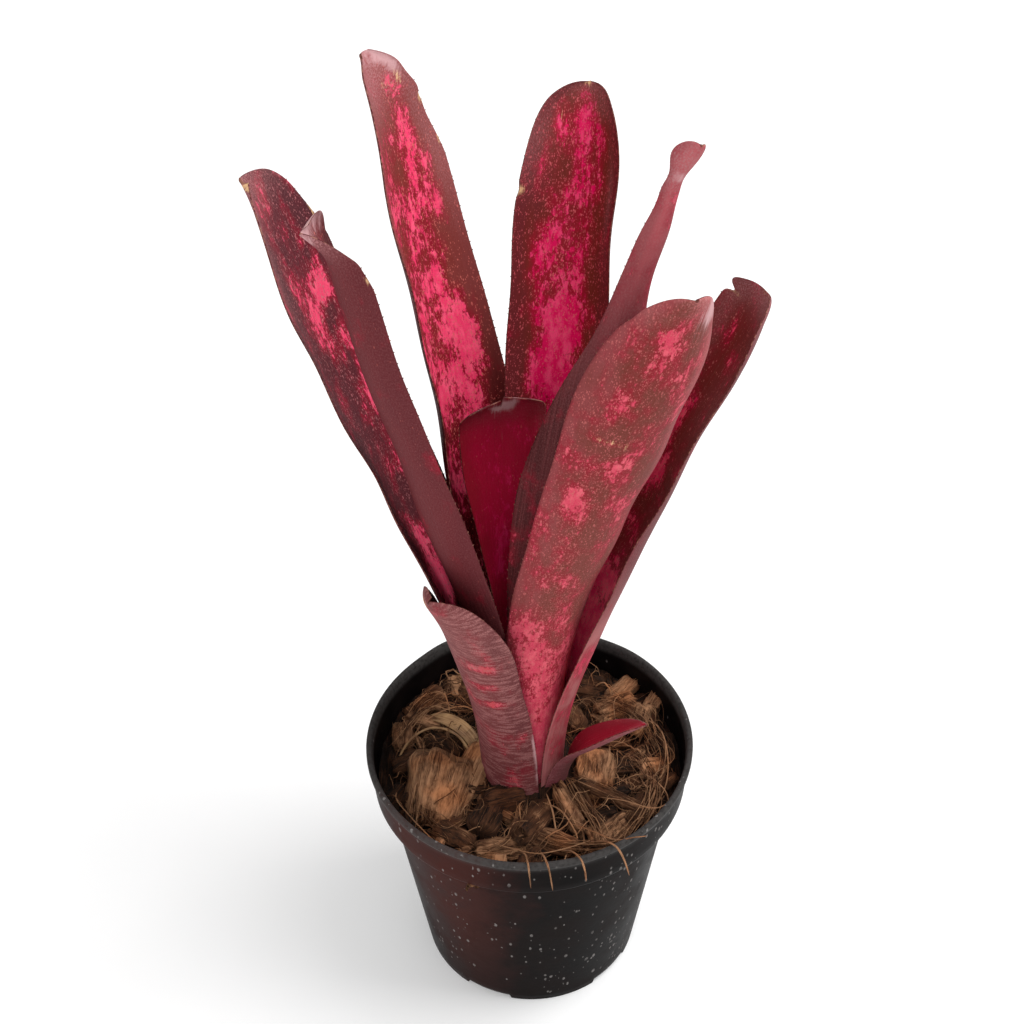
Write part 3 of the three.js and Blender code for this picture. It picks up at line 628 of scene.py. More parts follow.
# %% Palette
MAROON, WINE, PLUM = (0.10, 0.010, 0.012, 1), (0.060, 0.002, 0.004, 1), (0.085, 0.014, 0.020, 1)
CRIMSON, MAUVE, SOOT = (0.17, 0.001, 0.010, 1), (0.15, 0.028, 0.034, 1), (0.065, 0.015, 0.020, 1)
PALE_FOOT = (0.42, 0.14, 0.14, 1)
outer = dict(middle=MAUVE, margin=PLUM, tube=MAUVE, pink=-0.25, speck=0.05, fleck=0.3, dust=0.2,
             hot=(0.50, 0.022, 0.070, 1), light=(0.58, 0.075, 0.11, 1), rough=0.6)
inner = dict(middle=MAROON, margin=WINE, tube=WINE, pink=-0.2, speck=0.08)
FACES = {
    "leaf_left_outer": (outer, dict(
        inner, middle=PLUM, margin=SOOT, tube=WINE, pink=0.0, speck=0.62, dust=0.14,
        dot_colour=(0.48, 0.16, 0.17, 1), hot=(0.80, 0.055, 0.14, 1), light=(0.88, 0.09, 0.18, 1))),
    "leaf_left_folded": (dict(outer, middle=(0.115, 0.017, 0.021, 1), margin=(0.100, 0.016, 0.020, 1),
                              tube=(0.062, 0.011, 0.012, 1), dust=0.13), inner),
    "leaf_back_left": (dict(outer, middle=WINE, margin=WINE, tube=WINE, dust=0.05), dict(
        inner, middle=(0.17, 0.022, 0.016, 1), margin=(0.19, 0.036, 0.034, 1),
        tube=(0.060, 0.001, 0.003, 1),
        foot=(0.78, 0.54), pink=0.0, speck=0.5, dot_colour=(0.58, 0.13, 0.11, 1),
        hot=(0.80, 0.040, 0.13, 1), light=(0.90, 0.09, 0.19, 1))),
    "leaf_back": (outer, dict(
        inner, middle=(0.15, 0.019, 0.013, 1), margin=(0.13, 0.017, 0.020, 1), tube=CRIMSON, pink=0.0,
        speck=0.8, dot_colour=(0.66, 0.11, 0.13, 1), hot=(0.68, 0.002, 0.088, 1),
        light=(0.84, 0.055, 0.17, 1), deep=(0.34, 0.001, 0.024, 1))),
    # On the slender leaf, the outer face's near-black tube colour runs from the tip down and is full below
    # two thirds of its length (foot 1.0 to 0.68). It is painted shade, for the lower leaf standing in shadow
    # between its neighbours.
    "leaf_right_slender": (dict(
        outer, middle=(0.40, 0.078, 0.092, 1), margin=(0.28, 0.062, 0.070, 1),
        tube=(0.052, 0.007, 0.008, 1), foot=(1.0, 0.68), pink=-0.05, dust=0.12), inner),
    "leaf_front_broad": (dict(
        outer, middle=(0.13, 0.027, 0.018, 1), margin=(0.23, 0.046, 0.050, 1), tube=(0.36, 0.006, 0.036, 1),
        pink=0.03, speck=0.9, fleck=0.85, dust=0.12,
        dot_colour=(0.52, 0.125, 0.12, 1), scales=(0.42, 0.15, 0.148, 1),
        hot=(0.56, 0.045, 0.090, 1), light=(0.68, 0.10, 0.14, 1)), inner),
    "leaf_right": (dict(
        outer, middle=(0.13, 0.030, 0.034, 1), margin=(0.13, 0.030, 0.034, 1), tube=PALE_FOOT,
        foot=(0.66, 0.42), dust=0.3), dict(
        inner, middle=(0.15, 0.016, 0.014, 1), margin=(0.16, 0.020, 0.018, 1), tube=(0.27, 0.001, 0.011, 1),
        foot=(0.66, 0.45), pink=0.0, speck=0.35, dot_colour=(0.45, 0.11, 0.10, 1),
        hot=(0.66, 0.018, 0.080, 1), light=(0.78, 0.06, 0.12, 1))),
    "leaf_centre_short": (outer, dict(
        inner, middle=(0.30, 0.003, 0.024, 1), margin=(0.23, 0.004, 0.016, 1),
        tube=(0.085, 0.003, 0.007, 1),
        foot=(0.62, 0.35), pink=0.05, speck=0.04, fleck=0.3, dust=0.05, hot=(0.42, 0.003, 0.044, 1),
        light=(0.48, 0.012, 0.075, 1), deep=(0.32, 0.001, 0.026, 1))),
    "leaf_front_short": (dict(
        outer, middle=(0.145, 0.034, 0.036, 1), margin=(0.11, 0.028, 0.030, 1), tube=(0.14, 0.030, 0.032, 1),
        pink=-0.15, dust=0.22, bands=0.5, rough=0.65, hot=(0.50, 0.05, 0.065, 1),
        scales=(0.35, 0.145, 0.14, 1)), inner),
    "leaf_front_low": (dict(outer, middle=(0.15, 0.055, 0.055, 1), margin=(0.20, 0.05, 0.06, 1), dust=0.4,
                            bands=0.25), dict(
        inner, middle=(0.34, 0.010, 0.030, 1), margin=(0.26, 0.010, 0.024, 1), tube=(0.1, 0.002, 0.01, 1),
        dust=0.05)),
}

# %% Where the marks are
SPOTS = {
    "leaf_left_outer": dict(
        pink=[(-0.05, 0.805, 0.2, 0.035, 0.85), (-0.5, 0.82, 0.2, 0.022, 0.75), (-0.4, 0.67, 0.22, 0.04, 0.8),
              (-0.2, 0.60, 0.2, 0.02, 0.35), (0.12, 0.44, 0.35, 0.07, 0.5), (0.3, 0.37, 0.6, 0.07, 0.7),
              (-0.3, 0.74, 0.3, 0.03, 0.25), (-0.1, 0.88, 0.5, 0.05, 0.22)],
        dust=[(0, 1.0, 1.5, 0.04, 0.9), (0.9, 0.93, 0.35, 0.08, 0.5), (0.9, 0.7, 0.3, 0.3, 0.15)],
        tan=[(1.0, 0.998, 1.5, 0.004, 0.9), (-1.0, 0.9, 0.05, 0.03, 0.6), (1, 0.96, 0.05, 0.02, 0.6)]),
    "leaf_left_folded": dict(
        pink=[(0.62, 0.905, 0.08, 0.012, 0.6), (-0.3, 0.8, 0.2, 0.05, 0.2), (0, 0.25, 1, 0.1, 0.15)],
        dust=[(0, 1.0, 2, 0.03, 1.2)], tan=[(-1, 1.0, 0.5, 0.006, 0.9), (1, 0.93, 0.1, 0.006, 0.7)],
        white=[(-0.6, 1.0, 2, 0.03, 0.75)]),
    "leaf_back_left": dict(
        pink=[(-0.50, 0.93, 0.20, 0.05, 0.55), (-0.35, 0.85, 0.22, 0.05, 0.38),
              (-0.25, 0.78, 0.28, 0.08, 0.42), (0.0, 0.70, 0.40, 0.09, 0.36),
              (0.15, 0.60, 0.5, 0.09, 0.34), (0.3, 0.48, 0.5, 0.12, 0.40),
              (-0.65, 0.80, 0.12, 0.022, 0.65), (-0.60, 0.85, 0.12, 0.02, 0.45),
              (-0.55, 0.65, 0.30, 0.05, 0.80),
              (-0.45, 0.58, 0.35, 0.05, 0.72), (0.55, 0.86, 0.35, 0.12, 0.30), (0.5, 0.72, 0.3, 0.15, 0.25),
              (-1, 0.7, 0.28, 0.5, -0.5), (-0.55, 0.725, 0.12, 0.02, -0.3)],
        dust=[(0, 1.0, 1.5, 0.055, 1.1), (0.4, 0.95, 0.6, 0.05, 0.6), (-0.9, 0.88, 0.25, 0.1, 0.6),
              (0.9, 0.85, 0.3, 0.15, 0.3)],
        tan=[(-0.72, 0.965, 0.10, 0.018, 0.75), (-0.3, 0.955, 0.08, 0.008, 0.5),
             (-1, 0.925, 0.08, 0.012, 0.8),
             (-1, 0.87, 0.05, 0.01, 0.7)],
        white=[(0.1, 1.0, 1.2, 0.022, 0.6), (-0.75, 0.985, 0.25, 0.03, 0.6)]),
    "leaf_back": dict(
        pink=[(0.08, 0.70, 0.34, 0.26, 0.62), (0.43, 0.772, 0.2, 0.03, 0.55), (-0.15, 0.685, 0.22, 0.03, 0.5),
              (0.05, 0.6, 0.5, 0.09, 0.48), (0.5, 0.63, 0.2, 0.05, 0.40), (0.12, 0.85, 0.2, 0.06, 0.2),
              (-0.05, 0.93, 0.3, 0.05, 0.25), (-1, 0.7, 0.35, 0.5, -0.5), (1, 0.7, 0.25, 0.5, -0.4)],
        # On the back leaf, the narrow bell at u -0.6, s 0.86 lays a thin pale lengthwise streak high on the
        # leaf.
        dust=[(0, 1.01, 1.6, 0.025, 0.8), (0.95, 0.92, 0.4, 0.06, 0.5), (-0.5, 0.97, 0.5, 0.02, 0.3),
              (-0.6, 0.86, 0.08, 0.05, 0.35)],
        tan=[(1.0, 0.856, 0.12, 0.008, 1.1), (0.25, 1.0, 0.3, 0.006, 0.9), (0.5, 0.95, 0.05, 0.006, 0.4)]),
    "leaf_right_slender": dict(
        pink=[(0.5, 0.8, 0.45, 0.12, 0.4), (0.2, 0.9, 0.5, 0.05, 0.2), (0.4, 0.66, 0.4, 0.05, 0.25)],
        dust=[(0, 0.97, 1.5, 0.04, 0.7), (0, 0.8, 1.5, 0.2, 0.2)],
        tan=[(1, 0.985, 0.35, 0.02, 0.9), (-1, 0.85, 0.1, 0.05, 0.3)], white=[(0, 0.955, 1, 0.012, 0.5)]),
    "leaf_front_broad": dict(
        pink=[(-0.55, 0.652, 0.17, 0.026, 0.95), (0.07, 0.72, 0.2, 0.035, 0.6),
              (-0.35, 0.93, 0.4, 0.035, 0.5),
              (0.1, 0.89, 0.3, 0.03, 0.45), (0.5, 0.82, 0.25, 0.05, 0.5), (0.0, 0.63, 0.5, 0.05, 0.22),
              (-0.6, 0.41, 0.35, 0.05, 0.5), (-0.1, 0.33, 0.7, 0.04, 0.35), (0, 0.18, 1.2, 0.15, 0.95),
              (-0.2, 0.52, 0.7, 0.04, 0.25), (-0.35, 0.768, 0.4, 0.006, 0.45)],
        dust=[(1.0, 0.88, 0.35, 0.12, 0.6), (0.8, 0.985, 0.7, 0.02, 1.0), (0, 1.0, 1.2, 0.008, 0.5),
              (-0.9, 0.97, 0.5, 0.02, 0.3), (1, 0.4, 0.4, 0.25, 0.35), (0, 0.45, 1.0, 0.2, 0.15)],
        white=[(0.85, 0.965, 0.55, 0.028, 0.85), (1.0, 0.18, 0.12, 0.08, 0.6)],
        tan=[(-0.35, 0.770, 0.3, 0.004, 0.6), (-0.1, 0.762, 0.06, 0.005, 0.6)]),
    "leaf_right": dict(
        pink=[(0.30, 0.657, 0.28, 0.032, 1.0), (0.43, 0.744, 0.2, 0.032, 0.9),
              (0.35, 0.90, 0.12, 0.035, 0.55),
              (0.1, 0.86, 0.15, 0.02, 0.4), (0.5, 0.45, 0.6, 0.07, 0.5), (0.2, 0.30, 1.2, 0.14, 1.1),
              (0.4, 0.1, 1.2, 0.1, 0.7), (0.1, 0.56, 0.5, 0.05, 0.25)],
        dust=[(0, 1.0, 1.5, 0.04, 0.9), (0.8, 0.9, 0.25, 0.07, 0.4), (0.9, 0.965, 0.3, 0.03, 0.4)],
        tan=[(0.9, 0.952, 0.2, 0.008, 0.5), (0.3, 1.0, 0.6, 0.006, 0.4)]),
    "leaf_centre_short": dict(
        pink=[(0.0, 0.75, 0.6, 0.12, 0.34), (0.3, 0.60, 0.5, 0.06, 0.3), (-0.2, 0.5, 0.4, 0.08, 0.25)],
        dust=[(0, 0.97, 1.5, 0.03, 0.15), (-0.95, 0.8, 0.15, 0.2, 0.3)],
        tan=[(0.1, 1.0, 0.2, 0.005, 0.7)], white=[(-0.05, 1.0, 0.42, 0.035, 0.85), (0, 1.0, 2, 0.008, 0.4)]),
    "leaf_front_short": dict(
        pink=[(0.33, 0.68, 0.30, 0.022, 1.15), (0.40, 0.60, 0.30, 0.018, 1.05),
              (0.40, 0.53, 0.28, 0.016, 1.0),
              (0.72, 0.38, 0.14, 0.03, 0.5), (0.1, 0.35, 0.15, 0.02, 0.5), (0.6, 0.2, 0.3, 0.06, 0.3)],
        dust=[(0, 0.85, 1.5, 0.25, 0.25)], tan=[(-0.4, 0.965, 0.3, 0.022, 1.1)],
        white=[(1.0, 0.33, 0.08, 0.06, 0.8), (1.0, 0.22, 0.12, 0.05, 0.5)]),
    "leaf_front_low": dict(
        pink=[(0, 0.1, 1.5, 0.15, 0.3)], dust=[(1, 0.9, 0.3, 0.2, 0.3)], tan=[(0, 1.0, 1, 0.012, 0.6)]),
}

margin_finish, tree, shader = finish_of("leaf margin", Roughness=0.6, Specular_IOR_Level=0.1)
rim_place = put(tree, "UVMap", {"uv_map": "skin"}).outputs[0]
dried = rise(tree, noise(tree, rim_place, 700.0, 2.0), 0.40, 0.72)
wire(tree, shader.inputs["Base Color"], mixed(tree, dried, (0.075, 0.012, 0.014, 1), (0.30, 0.13, 0.09, 1)))

# %% Make the leaves
for number, (name, leaf) in enumerate(LEAVES.items()):
    leaf.update(TORN.get(name, {}))
    leaf.update(SPOTS[name])
    body, rows = leaf_body(leaf, number)
    points, faces, uv, marks, slots = join_parts([body] + margin_spines(leaf, rows, number))
    piece = build("skin_" + name, place(points), faces, uv, marks, slots)
    for side, recipe in zip(("outer", "inner"), FACES[name]):
        piece.data.materials.append(leaf_skin(f"{name} {side}", **recipe))
    piece.data.materials.append(margin_finish)
    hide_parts(name)
    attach(piece, "root")
print("leaves made:", len(LEAVES))

# %% [markdown]
# ## The pot
# The pot is one thin moulded shell: a notched foot ring, a tapered body, a collar and
# a rolled rim. It is a profile turned about the axis. The soft plastic isn't quite
# round at the back, so the radius changes a little with the way round. The five drain
# holes are cut by a Boolean modifier, because they cross the grid at odd places.

# %% Pot profile
COLUMNS_ROUND, FOOT_RADIUS = 360, 41.5
NOTCHES, NOTCH_WIDTH, NOTCH_HEIGHT, NOTCH_TURN = 5, 18.0, 2.2, 318.0
PROFILE = np.array([
    (0.6, 4), (38, 4), (38.8, 3.7), (39.1, 3.2), (39.1, 0.5), (39.4, 0), (41.1, 0), (41.5, 0.4),
    (42.05, 4), (53.4, 83.5), (53.9, 86.2), (54.1, 86.8), (57.3, 87.3), (57.8, 87.6), (58.0, 88.2),
    (59.0, 101.2), (59.2, 101.8), (59.8, 102.4), (60, 103), (60, 104), (59.8, 104.6), (59.3, 105),
    (58.7, 105), (58.2, 104.7), (57.8, 104), (57.5, 102), (56.8, 89.8), (56.3, 88.7), (53.2, 87.3),
    (52.7, 86.4), (52.3, 83), (41.4, 7), (40.6, 5.6), (39.8, 5.3), (0.6, 5.3)])
DRAIN_HOLES, DRAIN_RADIUS, DRAIN_FROM_AXIS, DRAIN_SIDES = 5, 4.0, 24.0, 24


def finely(line, step):
    """The corner points of a line, with more points between them no further apart than
    step."""
    pieces = []
    for start, end in zip(line[:-1], line[1:]):
        count = max(2, int(np.linalg.norm(end - start) / step) + 1)
        pieces.append(np.linspace(start, end, count)[:-1])
    return np.concatenate(pieces + [line[-1:]])


def pot_points():
    """r(profile) * (cos, sin) with soft pushes of up to 0.9 mm that grow towards the
    rim, and the foot's lowest edge lifted to the notch height in every window."""
    profile = finely(PROFILE, 3.0)
    turn = np.arange(COLUMNS_ROUND) / COLUMNS_ROUND * 2 * np.pi
    radius, height = profile[:, :1] + 0 * turn, profile[:, 1:] + 0 * turn
    push = 0.8 * np.exp(-((turn - 2.15) / 0.14) ** 2) - 0.9 * np.exp(-((turn - 1.1) / 0.2) ** 2)
    push += 0.25 * np.sin(2 * turn + 0.6)
    radius = radius + push * ease(height, 55, 104)
    pitch = 360 / NOTCHES
    apart = np.abs((np.degrees(turn) - NOTCH_TURN + pitch / 2) % pitch - pitch / 2)
    apart = np.radians(apart) * FOOT_RADIUS
    lift = NOTCH_HEIGHT * (1 - ease(apart, NOTCH_WIDTH / 2 - 0.4, NOTCH_WIDTH / 2 + 0.4))
    ring = (profile[:, 0] > 38.9)[:, None]
    height = np.where(ring, np.maximum(height, lift), height)
    return np.stack([radius * np.cos(turn), radius * np.sin(turn), height], -1)


grid = pot_points()
pot = build("pot_shell", place(grid.reshape(-1, 3)), capped(*grid.shape[:2]))

drill_parts, sides = [], DRAIN_SIDES
turn = np.arange(sides) / sides * 2 * np.pi
for way in np.arange(DRAIN_HOLES) * 2 * np.pi / DRAIN_HOLES:
    at = DRAIN_FROM_AXIS * np.array([np.cos(way), np.sin(way)])
    ring = at + DRAIN_RADIUS * np.stack([np.cos(turn), np.sin(turn)], -1)
    tube = np.concatenate([np.c_[ring, np.full(sides, 0.5)], np.c_[ring, np.full(sides, 9.0)]])
    drill_parts.append((tube, capped(2, sides), np.zeros((2 * sides, 2)), {}, 0))
points, faces, uv, marks, slots = join_parts(drill_parts)
drill = build("drill", place(points), faces)
cut = pot.modifiers.new("drain holes", "BOOLEAN")
cut.object, cut.solver = drill, "EXACT"
cut_mesh = bpy.data.meshes.new_from_object(pot.evaluated_get(bpy.context.evaluated_depsgraph_get()))
pot.modifiers.clear()
pot.data = cut_mesh
bpy.data.objects.remove(drill)
print("pot faces:", len(pot.data.polygons))

# %% [markdown]
# The plastic is near black. Watering has left pale mineral specks on it, most of them
# low and on the right, and a brown bloom of dust and algae on the left. The lip is
# greyer where it has rubbed. All are masks over Object coordinates.

# %% Pot finish
pot_finish, tree, shader = finish_of("pot plastic", Roughness=0.5, Specular_IOR_Level=0.02)
spot = put(tree, "TexCoord").outputs["Object"]
parts = put(tree, "SeparateXYZ", Vector=spot)
x, y, z = (parts.outputs[k] for k in "XYZ")
mottle = noise(tree, spot, 60.0, 4.0, 0.6)
fine = noise(tree, spot, 700.0, 3.0, 0.6)
colour = mixed(tree, rise(tree, mottle, 0.35, 0.7), (0.0030, 0.0022, 0.0022, 1), (0.0085, 0.0058, 0.0054, 1))
left = rise(tree, calc(tree, "MULTIPLY_ADD", mottle, 0.05, x), 0.030, 0.0)
front = rise(tree, y, -0.02, -0.05)
bloom = calc(tree, "MULTIPLY", calc(tree, "MULTIPLY", left, front), rise(tree, z, 0.0, 0.06, 0.45, 1.0))
bloom = calc(tree, "MULTIPLY", bloom, rise(tree, mottle, 0.2, 0.7, 0.55, 1.0))
colour = mixed(tree, bloom, colour, (0.048, 0.0125, 0.0095, 1))
lip = calc(tree, "MULTIPLY", rise(tree, z, 0.0995, 0.1025), rise(tree, fine, 0.25, 0.6, 0.5, 1.0))
colour = mixed(tree, calc(tree, "MULTIPLY", lip, 0.75), colour, (0.062, 0.058, 0.056, 1))
stretch = scaled(tree, spot, (1.0, 1.0, 0.55))
total = None
for cell_scale, share, size in ((270.0, 0.34, 0.18), (560.0, 0.50, 0.32)):
    crowd = calc(tree, "MULTIPLY", rise(tree, noise(tree, spot, 34.0, 2.0), 0.36, 0.62), share)
    crowd = calc(tree, "ADD", crowd, calc(tree, "MULTIPLY", rise(tree, x, 0.0, 0.035), 0.22))
    crowd = calc(tree, "MULTIPLY", crowd, rise(tree, y, 0.0, -0.035, 0.12, 1.0))
    dot = round_dots(tree, stretch, cell_scale, crowd, size, 0.05, (-0.03, 0.07))
    total = dot if total is None else calc(tree, "MAXIMUM", total, dot)
lime = calc(tree, "MULTIPLY", total, rise(tree, fine, 0.3, 0.65, 0.25, 0.9))
colour = mixed(tree, calc(tree, "MULTIPLY", lime, 0.62), colour, (0.30, 0.28, 0.27, 1))
wire(tree, shader.inputs["Base Color"], colour)
matt = calc(tree, "MULTIPLY_ADD", lime, 0.8, mottle)
wire(tree, shader.inputs["Roughness"], rise(tree, matt, 0.3, 1.1, 0.36, 0.7))
height = calc(tree, "MULTIPLY_ADD", lime, 0.5, calc(tree, "MULTIPLY_ADD", fine, 0.25, mottle))
wire(tree, shader.inputs["Normal"], bumped(tree, height, 0.25, 0.0005))
pot.data.materials.clear()
pot.data.materials.append(pot_finish)
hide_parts("pot")
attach(pot, "root")

# %% [markdown]
# ## The potting mix
# The mix is coarse: husk chunks with visible fibres, squares of bark, and loose coir.
# Under them lies a darker bed that fills the pot. Chips are boxy rounded blocks with
# ridges along the grain and torn ends, and the larger ones carry a fringe of fibres.
# Strands are thin tubes along wandering lines that follow the bed's height. Scattering
# instances would also do, but worked out together they are two meshes, one of bed and
# chips and one of coir.

# %% Bed height
MIX_TOP, HOLE = 87.6, 11.0
WAVES = np.random.default_rng(11)
WAVE_SET = {scale: (WAVES.normal(0, 1, (14, 2)) * 2 * np.pi / scale, WAVES.uniform(0, 6.3, 14))
            for scale in (16, 7, 3)}


def waves(x, y, scale):
    """Sum of 14 cosines of random direction with about that wavelength, near -1 to 1."""
    vectors, phases = WAVE_SET[scale]
    return np.cos(x[..., None] * vectors[:, 0] + y[..., None] * vectors[:, 1] + phases).sum(-1) / 3.7


def bed_height(x, y):
    """The bed's top: level, three sizes of waves, a rise round the plant and a
    smaller one at the wall."""
    x, y = np.asarray(x, float), np.asarray(y, float)
    plant, middle = np.hypot(x - PLANT[0], y - PLANT[1]), np.hypot(x, y)
    rough = 1.2 * waves(x, y, 16) + 0.7 * waves(x, y, 7) + 0.35 * waves(x, y, 3)
    return MIX_TOP + rough + 6.2 * np.exp(-((plant - 13) / 8) ** 2) + 1.8 * ease(middle, 46, 54)


def bed():
    """A closed turned body: its underside, its wall, the wavy top and the plain hole
    that the stem stands in. Its middle line shifts from the pot's axis to the plant's."""
    turn = np.arange(180) / 180 * 2 * np.pi
    side = [(0.5, 6.0), (20, 6.0)] + [(39.75 + 0.1437 * z, z) for z in np.linspace(6.2, 85.5, 12)]
    side += [(53.4, 87.9), (56.2, 89.3)]
    top = [(r, None) for r in np.linspace(56.5, HOLE, 70)]
    hole = [(HOLE, 76.0), (HOLE, 66.0), (14.0, 64.0), (14.0, 61.5), (0.5, 61.5)]
    rows = []
    for r, z in side + top + hole:
        share = np.clip((50 - r) / 38, 0, 1) if z is None or z > 60 and r < 20 else 0.0
        x, y = PLANT[0] * share + r * np.cos(turn), PLANT[1] * share + r * np.sin(turn)
        rows.append(np.stack([x, y, bed_height(x, y) if z is None else np.full(len(turn), z)], -1))
    points = np.array(rows).reshape(-1, 3)
    marks = {"tone": np.full(len(points), 0.02)}
    return points, capped(len(rows), len(turn)), points[:, :2] * MM, marks, 0

# %% Chips
MESS = np.random.default_rng(23)


def spin(turn, tilt, roll):
    """The rotation by roll about x, then tilt about y, then turn about z, in degrees."""
    about = {axis: Matrix.Rotation(math.radians(angle), 3, axis)
             for axis, angle in (("X", roll), ("Y", tilt), ("Z", turn))}
    return np.array(about["Z"] @ about["Y"] @ about["X"])


def chip(at, size, turn=0, tilt=0, roll=0, tone=0.5, fan=0.0, bend=0.0, boxy=0.45, torn=0.10):
    """A block along v from -1 to 1 with a superellipse section: y = w/2 * |cos|^boxy,
    z = t/2 * |sin|^boxy, scaled by (1 - |v|^9)^(1/5). Ridges run along it, its ends are
    torn, fan widens it towards +v and bend lifts both ends."""
    length, width, thick = size
    v = np.array([-1, -0.985, -0.93, -0.82, -0.6, -0.35, -0.1, 0.15, 0.4, 0.62, 0.8, 0.92, 0.98, 1.0])
    sides = 30
    around = np.arange(sides) / sides * 2 * np.pi
    full = (1 - np.abs(v) ** 9) ** (1 / 5)
    full[[0, -1]] = 0.35
    ridges = np.interp(around, np.linspace(0, 2 * np.pi, 31), np.r_[MESS.normal(0, 1, 30), 0])
    lumps = sum(MESS.normal(0, 0.5) * np.cos(k * around[None] + j * 1.7 * v[:, None] + MESS.uniform(0, 6.3))
                for k, j in ((1, 1), (2, 2), (3, 2), (2, 3)))
    swell = full[:, None] * (1 + 0.055 * ridges[None] + 0.08 * lumps)
    cosine, sine = np.cos(around), np.sin(around)
    y = width / 2 * np.sign(cosine) * np.abs(cosine) ** boxy * swell * (1 + fan * v[:, None])
    z = thick / 2 * np.sign(sine) * np.abs(sine) ** boxy * swell + bend * v[:, None] ** 2
    tear = length * torn * MESS.normal(0, 1, sides)[None] * ease(np.abs(v), 0.75, 1.0)[:, None] * 0.5
    x = length / 2 * v[:, None] + tear + 0 * y
    local = np.stack([x, y, z], -1).reshape(-1, 3)
    points = local @ spin(turn, tilt, roll).T + np.array(at)
    offset = MESS.uniform(0, 1, 2)
    rounded = np.abs((around / np.pi) % 2 - 1) * (width + thick) / 2
    uv = np.stack([np.broadcast_to(rounded, x.shape), x], -1).reshape(-1, 2) * MM + offset
    return points, capped(len(v), sides, flip=True), uv, {"tone": np.full(len(points), tone)}, 0


CHIPS = [
    dict(at=(-33, -15, 91.9), size=(25, 23, 9), turn=78, tilt=-14, roll=10, tone=0.80, fan=0.16, torn=0.16),
    dict(at=(-21.5, -7, 93.4), size=(20, 12, 5), turn=66, tilt=-18, roll=-24, tone=0.95, torn=0.12),
    dict(at=(-9, -19.5, 91.9), size=(15, 10, 9), turn=12, tilt=-8, tone=0.22, boxy=0.8, torn=0.03),
    dict(at=(-15.5, -27, 90.9), size=(17, 11, 9), turn=72, tilt=10, tone=0.18, boxy=0.8, torn=0.03),
    dict(at=(24.5, -5, 92.4), size=(14, 13, 6), turn=84, tilt=-24, roll=6, tone=0.72, boxy=0.3, torn=0.06),
    dict(at=(45.5, -4, 91.4), size=(9, 7, 4), turn=6, tilt=4, roll=24, tone=1.0, boxy=0.3, torn=0.05),
    dict(at=(31, -19, 92.9), size=(31, 4.6, 2.6), turn=-28, tilt=4, tone=0.42, torn=0.03),
    dict(at=(33, 27, 91.4), size=(15, 9, 5), turn=15, tilt=-18, roll=20, tone=0.74),
    dict(at=(42, 20, 91.9), size=(12, 7, 5), turn=70, tilt=-24, roll=10, tone=0.9),
    dict(at=(47, 27, 91.4), size=(11, 6, 4), turn=60, tilt=-30, tone=0.8),
    dict(at=(22, 39, 90.4), size=(15, 9, 5), turn=-12, roll=24, tone=0.3),
    dict(at=(36, 36, 91.4), size=(13, 8, 4), turn=40, tilt=-15, tone=0.86),
    dict(at=(17, 22, 90.9), size=(13, 8, 5), turn=105, tilt=12, tone=0.5),
    dict(at=(-39, 31, 90.9), size=(14, 9, 5), turn=45, tilt=-14, roll=22, tone=0.55),
    dict(at=(-48, 14, 90.9), size=(12, 8, 4), turn=95, roll=-20, tone=0.66),
    dict(at=(-45, 0, 90.4), size=(13, 8, 5), turn=20, tilt=-10, tone=0.25),
    dict(at=(-32, 8, 90.4), size=(14, 9, 6), turn=130, tone=0.2, boxy=0.7),
    dict(at=(-40, 20, 91.4), size=(16, 6, 4), turn=150, tilt=10, tone=0.72),
    dict(at=(-10, -41, 90.6), size=(18, 9, 3.2), turn=6, roll=22, tone=0.6, bend=1.0),
    dict(at=(8, -38, 90.9), size=(17, 8, 3.2), turn=-24, roll=16, tone=0.55, bend=1.0),
    dict(at=(1, -30, 91.4), size=(19, 10, 6), turn=60, tilt=8, roll=14, tone=0.38, torn=0.2),
    dict(at=(-28, -35, 90.4), size=(15, 8, 4), turn=-35, roll=20, tone=0.35),
    dict(at=(30, -34, 90.4), size=(15, 9, 4), turn=50, roll=24, tone=0.62, torn=0.2),
    dict(at=(41, -22, 90.7), size=(15, 8, 4), turn=66, roll=-10, tone=0.40),
    dict(at=(14, -24, 92.4), size=(19, 6, 4.5), turn=-66, tilt=10, tone=0.66, torn=0.2),
    dict(at=(-14, 44, 90.2), size=(14, 8, 4), turn=10, roll=20, tone=0.4),
    dict(at=(-27, 40, 90.2), size=(13, 7, 4), turn=-30, roll=18, tone=0.55),
]


def small_chips(count):
    """Chips 5 to 12 mm long at random places between the plant and the wall."""
    found = []
    while len(found) < count:
        way, r = MESS.uniform(0, 2 * np.pi), math.sqrt(MESS.uniform(18.5**2, 52**2))
        x, y = r * math.cos(way), r * math.sin(way)
        if math.hypot(x - PLANT[0], y - PLANT[1]) < 19:
            continue
        size = (MESS.uniform(5, 12), MESS.uniform(3, 7), MESS.uniform(1.6, 4))
        high = float(bed_height(x, y)) + MESS.uniform(0.2, 2.2)
        found.append(chip((x, y, high), size, MESS.uniform(0, 360), MESS.normal(0, 16), MESS.normal(0, 18),
                          tone=MESS.beta(1.5, 2.3), torn=MESS.uniform(0.05, 0.2),
                          boxy=MESS.uniform(0.35, 0.8)))
    return found


